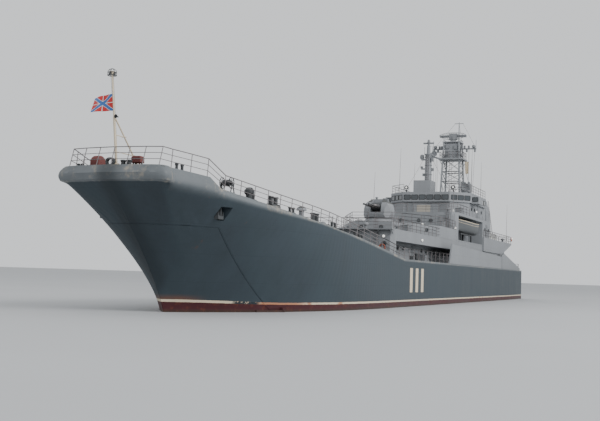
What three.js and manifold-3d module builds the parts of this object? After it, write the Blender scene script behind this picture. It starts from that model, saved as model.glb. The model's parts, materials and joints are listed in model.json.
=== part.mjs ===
// Landing ship with bow doors, 1:10 scale model.
// Every length below is in metres of the full-size ship: x forward of midship, y to port, z above the water.
// The whole group is scaled to model millimetres and lifted so that the flat bottom is at z = 0.
import * as THREE from "three";
import { mergeVertices } from "three/addons/utils/BufferGeometryUtils.js";
import Module from "manifold-3d";

const wasm = await Module();
wasm.setup();

// Driving dimensions
const MODEL_SCALE = 10;
const LENGTH = 112.5;
const HALF_BEAM = 7.5;
const DRAUGHT = 3.7;
const TRANSOM_X = -LENGTH / 2;
const WAIST_Z = 4.75;
const SEAT = 0.003; // gap between a piece and what it is fixed to
const PIN = 0.005; // gap at a pin or barrel
const CLEAR = 0.06; // gap round a piece that moves

// Stem and flare
const STEM_X = 48.65; // stem at the waterline
const STEM_RAKE = 7.18; // how far the stem leans out up to the knuckle
const STEM_CURVE = 1.3;
const FOREFOOT = 9;
const KNUCKLE_Z = 8.38;
const FRONT_HALF = 3.4; // half width of the blunt front at the knuckle
const FRONT_CURVE = 1.9;
const FRONT_DEPTH = 2;
const ENTRY = 33; // length over which the waterlines fill out
const ENTRY_CURVE = 3.5;
const BILGE_RADIUS = 1.2;
const RUN_X = -32; // the bottom rises aft of here
const RUN_RISE = 2.8;
const STERN_TAPER_X = -35;
const STERN_TAPER = 0.4;

// Deck edge: x and height
const SHEER = [
  [TRANSOM_X, WAIST_Z], [15.3, WAIST_Z], [25, 5.8], [31.4, 6.45], [36.1, 6.92], [40, 7.25],
  [43.1, 7.51], [46.3, 7.87], [49.4, 8.24], [50.4, 8.38], [51.4, 9.04], [54.4, 9.3], [56.5, 9.45],
];
// Pale band under the deck edge: x and height of the band
const BAND = [
  [TRANSOM_X, 0.15], [38, 0.2], [43.1, 0.32], [46.3, 0.42], [50.4, 0.52], [51.4, 1.02], [54.4, 1.03], [57, 1.05],
];

// Vehicle deck, bow opening and stern opening
const DECK_HALF = 2.7;
const DECK_FLOOR = 0.9;
const DECK_ROOF = 4.3;
const SEAM_X = 41.5; // the door seam leans forward from this point
const SEAM_Z = 0.6;
const SEAM_ANGLE = Math.atan(0.706);
const DOOR_LOW = -0.55;
const DOOR_HIGH = 5.9;
const DOOR_THICK = 0.35;
const DOOR_GAP = 0.055;
const DOOR_SPLIT = 0.03; // half the gap between the two doors
const DOOR_HINGE = [39.85, 5.22];
const RAMP_LENGTH = 7;
const RAMP_THICK = 0.24;
const RAMP_OFFSET = 0.22; // ramp plate centre ahead of the sloping face
const GATE_PIVOT = [TRANSOM_X + 0.15, 0.72];
const GATE_TOP = 4.45;

// Superstructure heights
const PASSAGE_TOP = 6.6;
const HOUSE1_TOP = 7.8;
const GUN_DECK = 9.2;
const AFT_DECK = 9.05;
const HOUSE2_TOP = 11.5;
const BRIDGE_TOP = 14.85;

const clamp01 = (t) => Math.min(1, Math.max(0, t));
const smooth = (t) => clamp01(t) ** 2 * (3 - 2 * clamp01(t));

function lookup(table, x) {
  for (let i = 1; i < table.length; i += 1) {
    const [x0, v0] = table[i - 1];
    const [x1, v1] = table[i];
    if (x <= x1) return v0 + (v1 - v0) * clamp01((x - x0) / (x1 - x0));
  }
  return table[table.length - 1][1];
}

// Solids
function toManifold(geometry) {
  const bare = geometry.clone();
  for (const name of Object.keys(bare.attributes)) {
    if (name !== "position") bare.deleteAttribute(name);
  }
  const merged = mergeVertices(bare, 1e-5);
  const index = merged.index.array;
  const triangles = [];
  for (let i = 0; i < index.length; i += 3) {
    const [a, b, c] = [index[i], index[i + 1], index[i + 2]];
    if (a !== b && b !== c && c !== a) triangles.push(a, b, c);
  }
  return new wasm.Manifold(new wasm.Mesh({
    numProp: 3,
    vertProperties: new Float32Array(merged.attributes.position.array),
    triVerts: new Uint32Array(triangles),
  }));
}

function toGeometry(solid) {
  const mesh = solid.getMesh();
  const geometry = new THREE.BufferGeometry();
  geometry.setAttribute("position", new THREE.BufferAttribute(new Float32Array(mesh.vertProperties), 3));
  geometry.setIndex(new THREE.BufferAttribute(new Uint32Array(mesh.triVerts), 1));
  geometry.computeVertexNormals();
  return geometry;
}

const join = (solids) => solids.reduce((sum, solid) => sum.add(solid));

// Box from its low and high corners
function box([x0, y0, z0], [x1, y1, z1]) {
  const geometry = new THREE.BoxGeometry(x1 - x0, y1 - y0, z1 - z0);
  return toManifold(geometry.translate((x0 + x1) / 2, (y0 + y1) / 2, (z0 + z1) / 2));
}

// Round bar or cone between two points
function bar(from, to, radius, endRadius = radius, sides = 10) {
  const a = new THREE.Vector3(...from);
  const b = new THREE.Vector3(...to);
  const along = b.clone().sub(a);
  const geometry = new THREE.CylinderGeometry(endRadius, radius, along.length(), sides);
  const turn = new THREE.Quaternion().setFromUnitVectors(new THREE.Vector3(0, 1, 0),
    along.clone().normalize());
  geometry.applyQuaternion(turn);
  return toManifold(geometry.translate(...a.add(b).multiplyScalar(0.5).toArray()));
}

// Solid turned about an upright axis from [radius, height] pairs
function turned(profile, x, y, sides = 24) {
  const geometry = new THREE.LatheGeometry(profile.map(([r, z]) => new THREE.Vector2(r, z)), sides);
  geometry.rotateX(Math.PI / 2);
  return toManifold(geometry.translate(x, y, 0));
}

function outline(points) {
  const shape = new THREE.Shape();
  shape.moveTo(...points[0]);
  points.slice(1).forEach((point) => shape.lineTo(...point));
  return shape;
}

// Side outline [x, z] carried across from y0 to y1
function acrossPlate(points, y0, y1) {
  const geometry = new THREE.ExtrudeGeometry(outline(points), { depth: y1 - y0, bevelEnabled: false });
  geometry.rotateX(Math.PI / 2);
  return toManifold(geometry.translate(0, y1, 0));
}

// Plan outline [x, y] carried up from z0 to z1
function planPlate(points, z0, z1) {
  const geometry = new THREE.ExtrudeGeometry(outline(points), { depth: z1 - z0, bevelEnabled: false });
  return toManifold(geometry.translate(0, 0, z0));
}

// Front outline [y, z] carried along from x0 to x1
function alongPlate(points, x0, x1) {
  const geometry = new THREE.ExtrudeGeometry(outline(points), { depth: x1 - x0, bevelEnabled: false });
  geometry.applyMatrix4(new THREE.Matrix4().set(0, 0, 1, x0, 1, 0, 0, 0, 0, 1, 0, 0, 0, 0, 0, 1));
  return toManifold(geometry);
}

// Outline of the port side, or its mirror to starboard
const onSide = (points, side) => points.map(([x, y]) => [x, side * y]);

// Rectangle in plan with cut corners at the front
function chamferedPlan(x0, x1, half, cut) {
  return [[x0, -half], [x1 - cut, -half], [x1, -half + cut], [x1, half - cut], [x1 - cut, half], [x0, half]];
}

// Hull form
function stemX(z) {
  if (z < 0) return STEM_X - FOREFOOT * (z / DRAUGHT) ** 2;
  return STEM_X + STEM_RAKE * (Math.min(z, KNUCKLE_Z) / KNUCKLE_Z) ** STEM_CURVE;
}

// Half breadth at a distance aft of the stem: a blunt front that grows with height, then the full body
function halfBreadth(aft, z) {
  const rise = clamp01(z / KNUCKLE_Z);
  const front = FRONT_HALF * rise ** FRONT_CURVE;
  const squareness = rise ** 3;
  const depth = FRONT_DEPTH * (1 - 0.7 * squareness);
  const blunt = 1 - (1 - Math.min(aft / depth, 1)) ** (1.8 + 1.7 * squareness);
  const body = 1 - (1 - Math.min(aft / ENTRY, 1)) ** ENTRY_CURVE;
  return front * blunt + (HALF_BEAM - front) * body;
}

function sternTaper(x) {
  return STERN_TAPER * clamp01((STERN_TAPER_X - x) / (STERN_TAPER_X - TRANSOM_X)) ** 2;
}

function keelZ(x) {
  const run = clamp01((RUN_X - x) / (RUN_X - TRANSOM_X));
  return -DRAUGHT + RUN_RISE * run ** 1.5;
}

// Levels up the section: height at the bow, share of the bilge radius taken off, and step of the band
const LEVELS = [
  ...[90, 67.5, 45, 22.5, 0].map((degrees) => {
    const angle = THREE.MathUtils.degToRad(degrees);
    return { z: -DRAUGHT + BILGE_RADIUS * (1 - Math.sin(angle)), bilge: 1 - Math.cos(angle), band: 0 };
  }),
  ...[-1.2, -0.3, 0.6, 1.7, 3, 4.4, 5.8, 7.1, KNUCKLE_Z].map((z) => ({ z, bilge: 0, band: 0 })),
  { z: KNUCKLE_Z, bilge: 0, band: 0.1, out: 0.32, side: 0.02 },
  { z: KNUCKLE_Z, bilge: 0, band: 0.5, out: 0.42, side: -0.04 },
  { z: KNUCKLE_Z, bilge: 0, band: 1, out: 0.1, side: -0.25 },
];
// Distances aft of the stem where the first sections lie; the rest are spaced to the transom
const FORE_STATIONS = [0, 0.04, 0.15, 0.35, 0.65, 1.1, 1.7, 2.5, 3.5, 4.43, 5.43, 7, 9.5, 12.5, 16, 20, 25, 31];
const AFT_STATIONS = [15.3, 5, -15, RUN_X, -38, -44, -50, TRANSOM_X];

function hullPoint(level, station, inset) {
  const stem = stemX(level.z) - inset * 1.3;
  const joinX = stem - FORE_STATIONS[FORE_STATIONS.length - 1];
  const x = station < FORE_STATIONS.length
    ? stem - FORE_STATIONS[station]
    : Math.min(AFT_STATIONS[station - FORE_STATIONS.length], joinX);
  const aft = stem - x;
  let y = halfBreadth(aft, level.z) - inset * Math.min(aft, 1);
  y -= sternTaper(x);
  y -= Math.min(BILGE_RADIUS, 0.6 * y) * level.bilge;
  let z = level.z;
  if (z < 0) z *= -keelZ(x) / DRAUGHT;
  const sheer = lookup(SHEER, x);
  const band = lookup(BAND, x);
  if (z > 0) z *= (sheer - band) / KNUCKLE_Z;
  let forward = 0;
  if (level.band > 0) {
    z = sheer - band + band * level.band;
    const front = smooth((x - 54.4) / 0.8);
    const side = smooth((x - 36) / 12);
    y += aft > 0 ? Math.min(1, aft / 0.15) * (level.out * front + level.side * side * (1 - front)) : 0;
    forward = level.out * front * (1 - Math.min(1, aft / 2));
  }
  return [x + forward, Math.max(y, 0), z];
}

function hullSolid(inset) {
  const rows = LEVELS.length;
  const columns = FORE_STATIONS.length + AFT_STATIONS.length;
  const positions = [];
  const add = (a, b, c) => positions.push(...a, ...b, ...c);
  const flip = ([x, y, z]) => [x, -y, z];
  // The port side and its mirror
  const quad = (a, b, c, d) => {
    add(a, c, b);
    add(a, d, c);
    add(flip(a), flip(b), flip(c));
    add(flip(a), flip(c), flip(d));
  };
  const point = (row, column) => hullPoint(LEVELS[row], column, inset);
  const middle = ([x, , z]) => [x, 0, z];
  for (let column = 1; column < columns; column += 1) {
    for (let row = 1; row < rows; row += 1) {
      quad(point(row - 1, column), point(row - 1, column - 1), point(row, column - 1), point(row, column));
    }
    const keelAft = point(0, column);
    const keelFore = point(0, column - 1);
    quad(middle(keelAft), middle(keelFore), keelFore, keelAft);
    const deckAft = point(rows - 1, column);
    const deckFore = point(rows - 1, column - 1);
    quad(deckAft, deckFore, middle(deckFore), middle(deckAft));
  }
  for (let row = 1; row < rows; row += 1) {
    const low = point(row - 1, columns - 1);
    const high = point(row, columns - 1);
    quad(middle(low), low, high, middle(high));
  }
  const geometry = new THREE.BufferGeometry();
  geometry.setAttribute("position", new THREE.BufferAttribute(new Float32Array(positions), 3));
  return toManifold(geometry);
}

// Point on the seam plane, moved forward at right angles to it
function seamPoint(z, ahead) {
  const x = SEAM_X + (z - SEAM_Z) / Math.tan(SEAM_ANGLE);
  return [x + ahead * Math.sin(SEAM_ANGLE), z - ahead * Math.cos(SEAM_ANGLE)];
}

// Wedge ahead of the seam plane between two heights
function bowWedge(low, high, ahead, y0, y1) {
  const reach = 60;
  const lift = ahead / Math.cos(SEAM_ANGLE);
  const atLow = seamPoint(low + lift, ahead)[0];
  const atHigh = seamPoint(high + lift, ahead)[0];
  return acrossPlate([[atLow, low], [reach, low], [reach, high], [atHigh, high]], y0, y1);
}

const ship = new THREE.Group();

function paint(color, roughness = 0.6, metalness = 0) {
  return new THREE.MeshStandardMaterial({ color, roughness, metalness });
}
const PAINT = {
  hull: paint("#4a5a66"),
  house: paint("#7c848a"),
  dark: paint("#33383c", 0.7),
  buff: paint("#d9cfb4"),
  bronze: paint("#9a7440", 0.35, 1),
  red: paint("#6d2a2a"),
  brown: paint("#6a3a34", 0.8),
  cloth: paint("#b8302e", 0.9),
};

function part(name, solid, material) {
  const mesh = new THREE.Mesh(toGeometry(solid), material.clone());
  mesh.name = name;
  ship.add(mesh);
}

const SIDES = [["port", 1], ["starboard", -1]];
const wide = HALF_BEAM + 2;

// Hull with the vehicle deck right through it
const outerHull = hullSolid(0);
const PROPELLER = { x: -51.5, y: 3.2, z: -2.72, radius: 0.88 };
const SHAFT_START_X = -46;
const STRUT_X = -50.2;
const STRUT_PAD_Z = -2;
const RUDDER = { x: -53.5, top: -1.62, padZ: -1.5, low: -3.4 };

// Deck gear: centre x, y and half sizes of the level pad it stands on
const PADS = {
  jackstaff: [55.1, 0, 0.35, 0.35],
  jackLeg: [52.1, 0, 0.2, 0.2],
  cableReel: [53.9, -2.25, 0.4, 0.45],
  locker: [54.2, 1, 0.4, 0.42],
  windlass: [49.6, 0, 0.75, 1.9],
  wheelReel: [48.2, 4.35, 0.35, 0.5],
  cowl: [46.5, 5.25, 0.4, 0.4],
  bollardsPort: [44, 5.95, 0.75, 0.3],
  bollardsStarboard: [44, -5.95, 0.75, 0.3],
  ventPort: [39.5, 6.3, 0.45, 0.45],
  ventStarboard: [39.5, -6.3, 0.45, 0.45],
};
const HATCH = { aft: 18, fore: 25, half: 1.8, top: 6.55, rim: 0.25, lid: 0.2 };
const HATCH_PIVOT = [HATCH.aft - 0.2, HATCH.top + 0.1];
const HATCH_BARRELS = [-1.2, 1.2];
const HATCH_BARREL_HALF = 0.25;

function padTop(name) {
  const [x, , halfX] = PADS[name];
  return Math.max(lookup(SHEER, x + halfX), lookup(SHEER, x - halfX)) + 0.06;
}

// Pocket in the flare for the anchor
const ANCHOR = { x: 49.55, z: 6.75, seatY: 4.4 };

function hullWithOpenings() {
  let hull = outerHull;
  hull = hull.add(box([HATCH.aft, -HATCH.half, 4.5], [HATCH.fore, HATCH.half, HATCH.top]));
  const rim = HATCH.half - HATCH.rim;
  const hatchWell = box([HATCH.aft + HATCH.rim, -rim, DECK_ROOF - 1],
    [HATCH.fore - HATCH.rim, rim, HATCH.top + 1]);
  hull = hull.subtract(hatchWell);
  for (const [name, [x, y, halfX, halfY]] of Object.entries(PADS)) {
    const top = padTop(name);
    hull = hull.add(box([x - halfX, y - halfY, top - 0.8], [x + halfX, y + halfY, top]));
  }
  hull = hull.subtract(box([TRANSOM_X - 1, -DECK_HALF, DECK_FLOOR], [STEM_X, DECK_HALF, DECK_ROOF]));
  hull = hull.subtract(bowWedge(DOOR_LOW, DOOR_HIGH, 0, -wide, wide));
  hull = hull.subtract(box([TRANSOM_X - 1, -2.95, 0.48], [GATE_PIVOT[0] + 0.28, 2.95, GATE_TOP + 0.1]));
  const additions = [];
  for (const [, side] of SIDES) {
    const y = side * PROPELLER.y;
    additions.push(bar([-40, y, PROPELLER.z], [SHAFT_START_X, y, PROPELLER.z], 0.3, 0.26));
    additions.push(box([STRUT_X - 0.5, y - 0.25, STRUT_PAD_Z], [STRUT_X + 0.5, y + 0.25, STRUT_PAD_Z + 0.9]));
    additions.push(bar([RUDDER.x, y, RUDDER.padZ], [RUDDER.x, y, RUDDER.padZ + 0.6], 0.35));
    // Door hinge lugs above and below the door's barrel
    const [hingeX, hingeY] = DOOR_HINGE;
    for (const [low, high] of [[-0.32, -0.155], [0.155, 0.32]]) {
      additions.push(planPlate(onSide([
        [hingeX - 0.4, hingeY - 0.9], [hingeX + 0.15, hingeY - 0.9], [hingeX + 0.13, hingeY],
        [hingeX, hingeY + 0.13], [hingeX - 0.13, hingeY],
      ], side), low, high));
    }
    // Ramp lugs beside the barrel at the front edge of the vehicle deck
    const near = side * (DECK_HALF + PIN);
    const far = side * (DECK_HALF + 0.25);
    const [pivotX, pivotZ] = seamPoint(DECK_FLOOR + 0.03, RAMP_OFFSET);
    const rampLug = [
      [pivotX + 0.14, pivotZ - 0.1], [pivotX + 0.1, pivotZ + 0.14], [pivotX - 0.1, pivotZ + 0.16],
      [pivotX - 0.6, pivotZ + 0.1], [pivotX - 0.6, pivotZ - 0.4], [pivotX, pivotZ - 0.2],
    ];
    additions.push(acrossPlate(rampLug, Math.min(near, far), Math.max(near, far)));
    // Stern gate lugs
    const gateNear = side * (DECK_HALF + 0.05 + PIN);
    const gateFar = side * 2.96;
    const [gateX, gateZ] = GATE_PIVOT;
    const gateLug = [
      [gateX - 0.13, gateZ - 0.1], [gateX + 0.3, gateZ - 0.25], [gateX + 0.3, gateZ + 0.2],
      [gateX - 0.1, gateZ + 0.13],
    ];
    additions.push(acrossPlate(gateLug, Math.min(gateNear, gateFar), Math.max(gateNear, gateFar)));
  }
  // Hatch lugs on both sides of each barrel of the lid
  const [lidX, lidZ] = HATCH_PIVOT;
  const hatchLug = [
    [lidX - 0.12, lidZ], [lidX - 0.08, lidZ + 0.1], [lidX + 0.06, lidZ + 0.1], [HATCH.aft, HATCH.top - 0.04],
    [HATCH.aft + 0.05, HATCH.top - 0.5], [HATCH.aft, HATCH.top - 0.5],
  ];
  for (const y of HATCH_BARRELS) {
    const inner = HATCH_BARREL_HALF + PIN;
    additions.push(acrossPlate(hatchLug, y + inner, y + inner + 0.12));
    additions.push(acrossPlate(hatchLug, y - inner - 0.12, y - inner));
  }
  hull = hull.add(join(additions));
  for (const [, side] of SIDES) {
    const near = side * ANCHOR.seatY;
    const far = side * wide;
    hull = hull.subtract(box(
      [ANCHOR.x - 0.5, Math.min(near, far), ANCHOR.z - 0.42],
      [ANCHOR.x + 0.46, Math.max(near, far), ANCHOR.z + 0.46],
    ));
  }
  return hull;
}
part("hull", hullWithOpenings(), PAINT.hull);

// Bow doors: shell of the bow ahead of the seam, one each side
const RAMP_PIVOT = seamPoint(DECK_FLOOR + 0.03, RAMP_OFFSET);
const bowShell = outerHull.subtract(hullSolid(DOOR_THICK));
for (const [name, side] of SIDES) {
  const region = bowWedge(DOOR_LOW + DOOR_GAP, DOOR_HIGH - DOOR_GAP, DOOR_GAP,
    Math.min(side * DOOR_SPLIT, side * wide), Math.max(side * DOOR_SPLIT, side * wide));
  const [hingeX, hingeY] = DOOR_HINGE;
  const strap = planPlate(onSide([
    [hingeX, hingeY - 0.05], [42.2, 4.0], [42.25, 4.1], [hingeX + 0.02, hingeY + 0.05],
  ], side), -0.15, 0.15);
  const barrel = bar([hingeX, side * hingeY, -0.15], [hingeX, side * hingeY, 0.15], 0.13);
  part(`bow_door_${name}`, join([bowShell.intersect(region), strap, barrel]), PAINT.hull);
}

// Bow ramp, stowed against the sloping face
function bowRamp() {
  const [x, z] = RAMP_PIVOT;
  const along = [Math.cos(SEAM_ANGLE), Math.sin(SEAM_ANGLE)];
  const out = [Math.sin(SEAM_ANGLE), -Math.cos(SEAM_ANGLE)];
  const at = (far, ahead) => [x + along[0] * far + out[0] * ahead, z + along[1] * far + out[1] * ahead];
  const half = RAMP_THICK / 2;
  const plate = acrossPlate(
    [at(0, half), at(RAMP_LENGTH - 0.4, half), at(RAMP_LENGTH, 0), at(RAMP_LENGTH, -half), at(0, -half)],
    -DECK_HALF + 0.1, DECK_HALF - 0.1,
  );
  return plate.add(bar([x, -DECK_HALF, z], [x, DECK_HALF, z], 0.14));
}
part("bow_ramp", bowRamp(), PAINT.dark);

// Stern gate
const gateHalf = DECK_HALF + 0.05;
part("stern_gate", join([
  box([TRANSOM_X + 0.05, -gateHalf, GATE_PIVOT[1]], [TRANSOM_X + 0.33, gateHalf, GATE_TOP]),
  bar([GATE_PIVOT[0], -gateHalf, GATE_PIVOT[1]], [GATE_PIVOT[0], gateHalf, GATE_PIVOT[1]], 0.12),
]), PAINT.hull);

// Raised bulwarks amidships
const BULWARK = { fore: -4.5, aft: -36, low: WAIST_Z + SEAT, foreTop: 7.1, aftTop: 6.5, thick: 0.2 };
for (const [name, side] of SIDES) {
  const outer = side * HALF_BEAM;
  const inner = side * (HALF_BEAM - BULWARK.thick);
  part(`bulwark_${name}`, acrossPlate(
    [[BULWARK.fore + 1.2, BULWARK.low], [BULWARK.fore, BULWARK.foreTop], [BULWARK.aft, BULWARK.aftTop],
      [BULWARK.aft, BULWARK.low]],
    Math.min(outer, inner), Math.max(outer, inner),
  ), PAINT.hull);
}

// Long lower deckhouse: side passages under an overhanging upper half, closed by a wall at each end
const HOUSE1 = { aft: -45, fore: 15.1, half: 6.2, inner: 4.6, passageAft: -38, passageFore: 14.3 };
part("lower_deckhouse", join([
  box([HOUSE1.aft, -HOUSE1.inner, WAIST_Z + SEAT],
    [HOUSE1.passageFore + 0.1, HOUSE1.inner, PASSAGE_TOP + 0.5]),
  planPlate(chamferedPlan(HOUSE1.aft, HOUSE1.fore, HOUSE1.half, 0.4), PASSAGE_TOP, HOUSE1_TOP),
  planPlate(chamferedPlan(HOUSE1.passageFore, HOUSE1.fore, HOUSE1.half, 0.4), WAIST_Z + SEAT,
    PASSAGE_TOP + 0.5),
  box([HOUSE1.aft, -HOUSE1.half, WAIST_Z + SEAT], [HOUSE1.passageAft, HOUSE1.half, PASSAGE_TOP + 0.5]),
]), PAINT.house);

// House under the fore gun, with an oblique front
const HOUSE2 = { aft: -33, fore: -12, half: 6.2 };
const GUN_HOUSE = { fore: 3.8, foreHalf: 2.5, shoulder: -4, half: 6.2 };
part("gun_house", planPlate([
  [HOUSE2.fore + SEAT, -GUN_HOUSE.half], [GUN_HOUSE.shoulder, -GUN_HOUSE.half],
  [GUN_HOUSE.fore, -GUN_HOUSE.foreHalf],
  [GUN_HOUSE.fore, GUN_HOUSE.foreHalf], [GUN_HOUSE.shoulder, GUN_HOUSE.half],
  [HOUSE2.fore + SEAT, GUN_HOUSE.half],
], HOUSE1_TOP + SEAT, GUN_DECK), PAINT.house);

// Main house with a boat bay let into each side
const BAY = { aft: -27.9, fore: -12.9, inner: 4.1, low: HOUSE1_TOP + 0.15, high: 11.15 };
function mainHouse() {
  let house = planPlate(chamferedPlan(HOUSE2.aft, HOUSE2.fore, HOUSE2.half, 0.7), HOUSE1_TOP + SEAT,
    HOUSE2_TOP);
  for (const [, side] of SIDES) {
    const near = side * BAY.inner;
    const far = side * wide;
    house = house.subtract(box([BAY.aft, Math.min(near, far), BAY.low],
      [BAY.fore, Math.max(near, far), BAY.high]));
  }
  return house;
}
part("main_deckhouse", mainHouse(), PAINT.house);

// Bridge with its wheelhouse, wings and the house under the main mast
const BRIDGE = { aft: -33, fore: -20, half: 5.5, cut: 2.2, sill: 13.7, eaves: 0.3, wingHalf: 6.7,
  wingTop: 14.35 };
const MAST_HOUSE = { aft: -36.7, fore: -28, half: 3.2 };
part("bridge", join([
  planPlate(chamferedPlan(BRIDGE.aft, BRIDGE.fore, BRIDGE.half, BRIDGE.cut), HOUSE2_TOP + SEAT, BRIDGE.sill),
  planPlate(
    chamferedPlan(BRIDGE.aft + 1, BRIDGE.fore + BRIDGE.eaves, BRIDGE.half + BRIDGE.eaves,
      BRIDGE.cut + BRIDGE.eaves),
    BRIDGE.sill - 0.2, BRIDGE_TOP,
  ),
  box([BRIDGE.fore - 5.2, -BRIDGE.wingHalf, BRIDGE.sill - 0.3],
    [BRIDGE.fore - 2.5, BRIDGE.wingHalf, BRIDGE.wingTop]),
  box([MAST_HOUSE.aft, -MAST_HOUSE.half, HOUSE2_TOP + SEAT], [MAST_HOUSE.fore, MAST_HOUSE.half, BRIDGE_TOP]),
  box([MAST_HOUSE.aft, -MAST_HOUSE.half, AFT_DECK + SEAT],
    [BRIDGE.aft - SEAT, MAST_HOUSE.half, HOUSE2_TOP + 0.5]),
]), PAINT.house);

// Gun rings, turrets and guns
const FORE_TURRET = { name: "fore", x: 1, facing: 1, deck: GUN_DECK };
const AFT_TURRET = { name: "aft", x: -44.5, facing: -1, deck: AFT_DECK };
const RING_HEIGHT = 0.45;
const TURRET_HEIGHT = 2.35;
const TRUNNION_HEIGHT = 1.35;
const TRUNNION_AHEAD = 0.75;
const GUN_LENGTH = 4;
const SLOT_HALF = 0.62;
const SLOT_BACK = 0.55;
const SPIGOT_RADIUS = 1;
const SPIGOT_DEPTH = 0.3;

function turretShell(x, facing, base) {
  const side = [
    [-1.3, 0], [1.25, 0], [1.45, 0.4], [1.35, 1.15], [1, 1.85], [0.4, 2.25], [-0.4, TURRET_HEIGHT],
    [-1, 2.15], [-1.4, 1.6], [-1.45, 0.5],
  ].map(([along, up]) => [x + facing * along, base + up]);
  const across = alongPlate([
    [-1.45, base], [1.45, base], [1.62, base + 0.4], [1.58, base + 1.1], [1.3, base + 1.75],
    [0.6, base + 2.4], [-0.6, base + 2.4], [-1.3, base + 1.75], [-1.58, base + 1.1], [-1.62, base + 0.4],
  ], x - 2.2, x + 2.2);
  const plan = planPlate([
    [-1.5, -0.8], [-0.9, -1.62], [0.85, -1.62], [1.5, -0.95], [1.5, 0.95], [0.85, 1.62], [-0.9, 1.62],
    [-1.5, 0.8],
  ].map(([along, y]) => [x + facing * along, y]), base - 0.1, base + 3);
  const body = acrossPlate(side, -2, 2).intersect(across).intersect(plan);
  const slotFar = x + facing * 2.4;
  const slotNear = x + facing * (TRUNNION_AHEAD - SLOT_BACK);
  const slot = box(
    [Math.min(slotFar, slotNear), -SLOT_HALF, base + 0.7], [Math.max(slotFar, slotNear), SLOT_HALF, base + 3],
  );
  return body.subtract(slot).add(bar([x, 0, base - SPIGOT_DEPTH],
    [x, 0, base + 0.2], SPIGOT_RADIUS, SPIGOT_RADIUS, 24));
}

for (const { name, x, facing, deck } of [FORE_TURRET, AFT_TURRET]) {
  const ringTop = deck + RING_HEIGHT;
  const ring = turned([[0, deck + SEAT], [1.75, deck + SEAT], [1.6, ringTop], [0, ringTop]], x, 0);
  const wellFloor = ringTop + CLEAR - SPIGOT_DEPTH - SEAT;
  const well = bar([x, 0, wellFloor], [x, 0, ringTop + 1], SPIGOT_RADIUS + 0.02, SPIGOT_RADIUS + 0.02, 24);
  part(`${name}_gun_ring`, ring.subtract(well), PAINT.house);
  const base = ringTop + CLEAR;
  part(`${name}_turret`, turretShell(x, facing, base), PAINT.house);
  const pivotX = x + facing * TRUNNION_AHEAD;
  const pivotZ = base + TRUNNION_HEIGHT;
  const cradleEnd = SLOT_HALF - PIN;
  const cradle = bar([pivotX, -cradleEnd, pivotZ], [pivotX, cradleEnd, pivotZ], 0.45, 0.45, 16);
  const barrels = [-0.3, 0.3].map((y) => join([
    bar([pivotX, y, pivotZ], [pivotX + facing * 1.6, y, pivotZ], 0.17, 0.15),
    bar([pivotX + facing * 1.5, y, pivotZ], [pivotX + facing * GUN_LENGTH, y, pivotZ], 0.1, 0.07),
    bar([pivotX + facing * (GUN_LENGTH - 0.35), y, pivotZ], [pivotX + facing * GUN_LENGTH, y, pivotZ], 0.11),
  ]));
  part(`${name}_guns`, join([cradle, ...barrels]), PAINT.dark);
}

// Foremast on its box: a thick column, a neck and the navigation radar
const FOREMAST = { x: -21.2, y: -0.18, base: BRIDGE_TOP + SEAT, boxTop: 16.5, neckZ: 20.2, top: 21.5 };
part("foremast", join([
  box([FOREMAST.x - 1.6, -1.95, FOREMAST.base], [FOREMAST.x + 1.1, 0.5, FOREMAST.boxTop]),
  bar([FOREMAST.x, FOREMAST.y, FOREMAST.boxTop - 0.1],
    [FOREMAST.x, FOREMAST.y, FOREMAST.neckZ], 0.5, 0.46, 12),
  bar([FOREMAST.x, FOREMAST.y, FOREMAST.neckZ - 0.1], [FOREMAST.x, FOREMAST.y, FOREMAST.top], 0.28, 0.24, 12),
  bar([FOREMAST.x, FOREMAST.y, FOREMAST.neckZ - 0.05],
    [FOREMAST.x, FOREMAST.y, FOREMAST.neckZ + 0.08], 0.6, 0.6, 12),
  // Small lamp brackets on the starboard side
  ...[18.2, 19.5].map((z) => box(
    [FOREMAST.x - 0.2, FOREMAST.y - 1, z - 0.08], [FOREMAST.x + 0.2, FOREMAST.y - 0.3, z + 0.08],
  )),
]), PAINT.house);
const NAV_RADAR_Z = FOREMAST.top + PIN;
part("nav_radar", join([
  bar([FOREMAST.x, FOREMAST.y, NAV_RADAR_Z], [FOREMAST.x, FOREMAST.y, NAV_RADAR_Z + 0.25], 0.16),
  box(
    [FOREMAST.x - 0.12, FOREMAST.y - 0.75, NAV_RADAR_Z + 0.2],
    [FOREMAST.x + 0.12, FOREMAST.y + 0.75, NAV_RADAR_Z + 0.4],
  ),
  bar([FOREMAST.x, FOREMAST.y, NAV_RADAR_Z + 0.35], [FOREMAST.x, FOREMAST.y, NAV_RADAR_Z + 0.8], 0.24, 0.14),
]), PAINT.dark);

// Lattice main mast with its platforms, yard and signal halyard
const MAST = { x: -34.8, base: BRIDGE_TOP + SEAT, top: 23.9, foot: 1.5, head: 1.15 };
const MAST_LEVELS = [MAST.base, 17.9, 19.4, 21.3, MAST.top];
const YARD_Z = 22.85;
const HALYARD_Y = 2.48;

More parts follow.
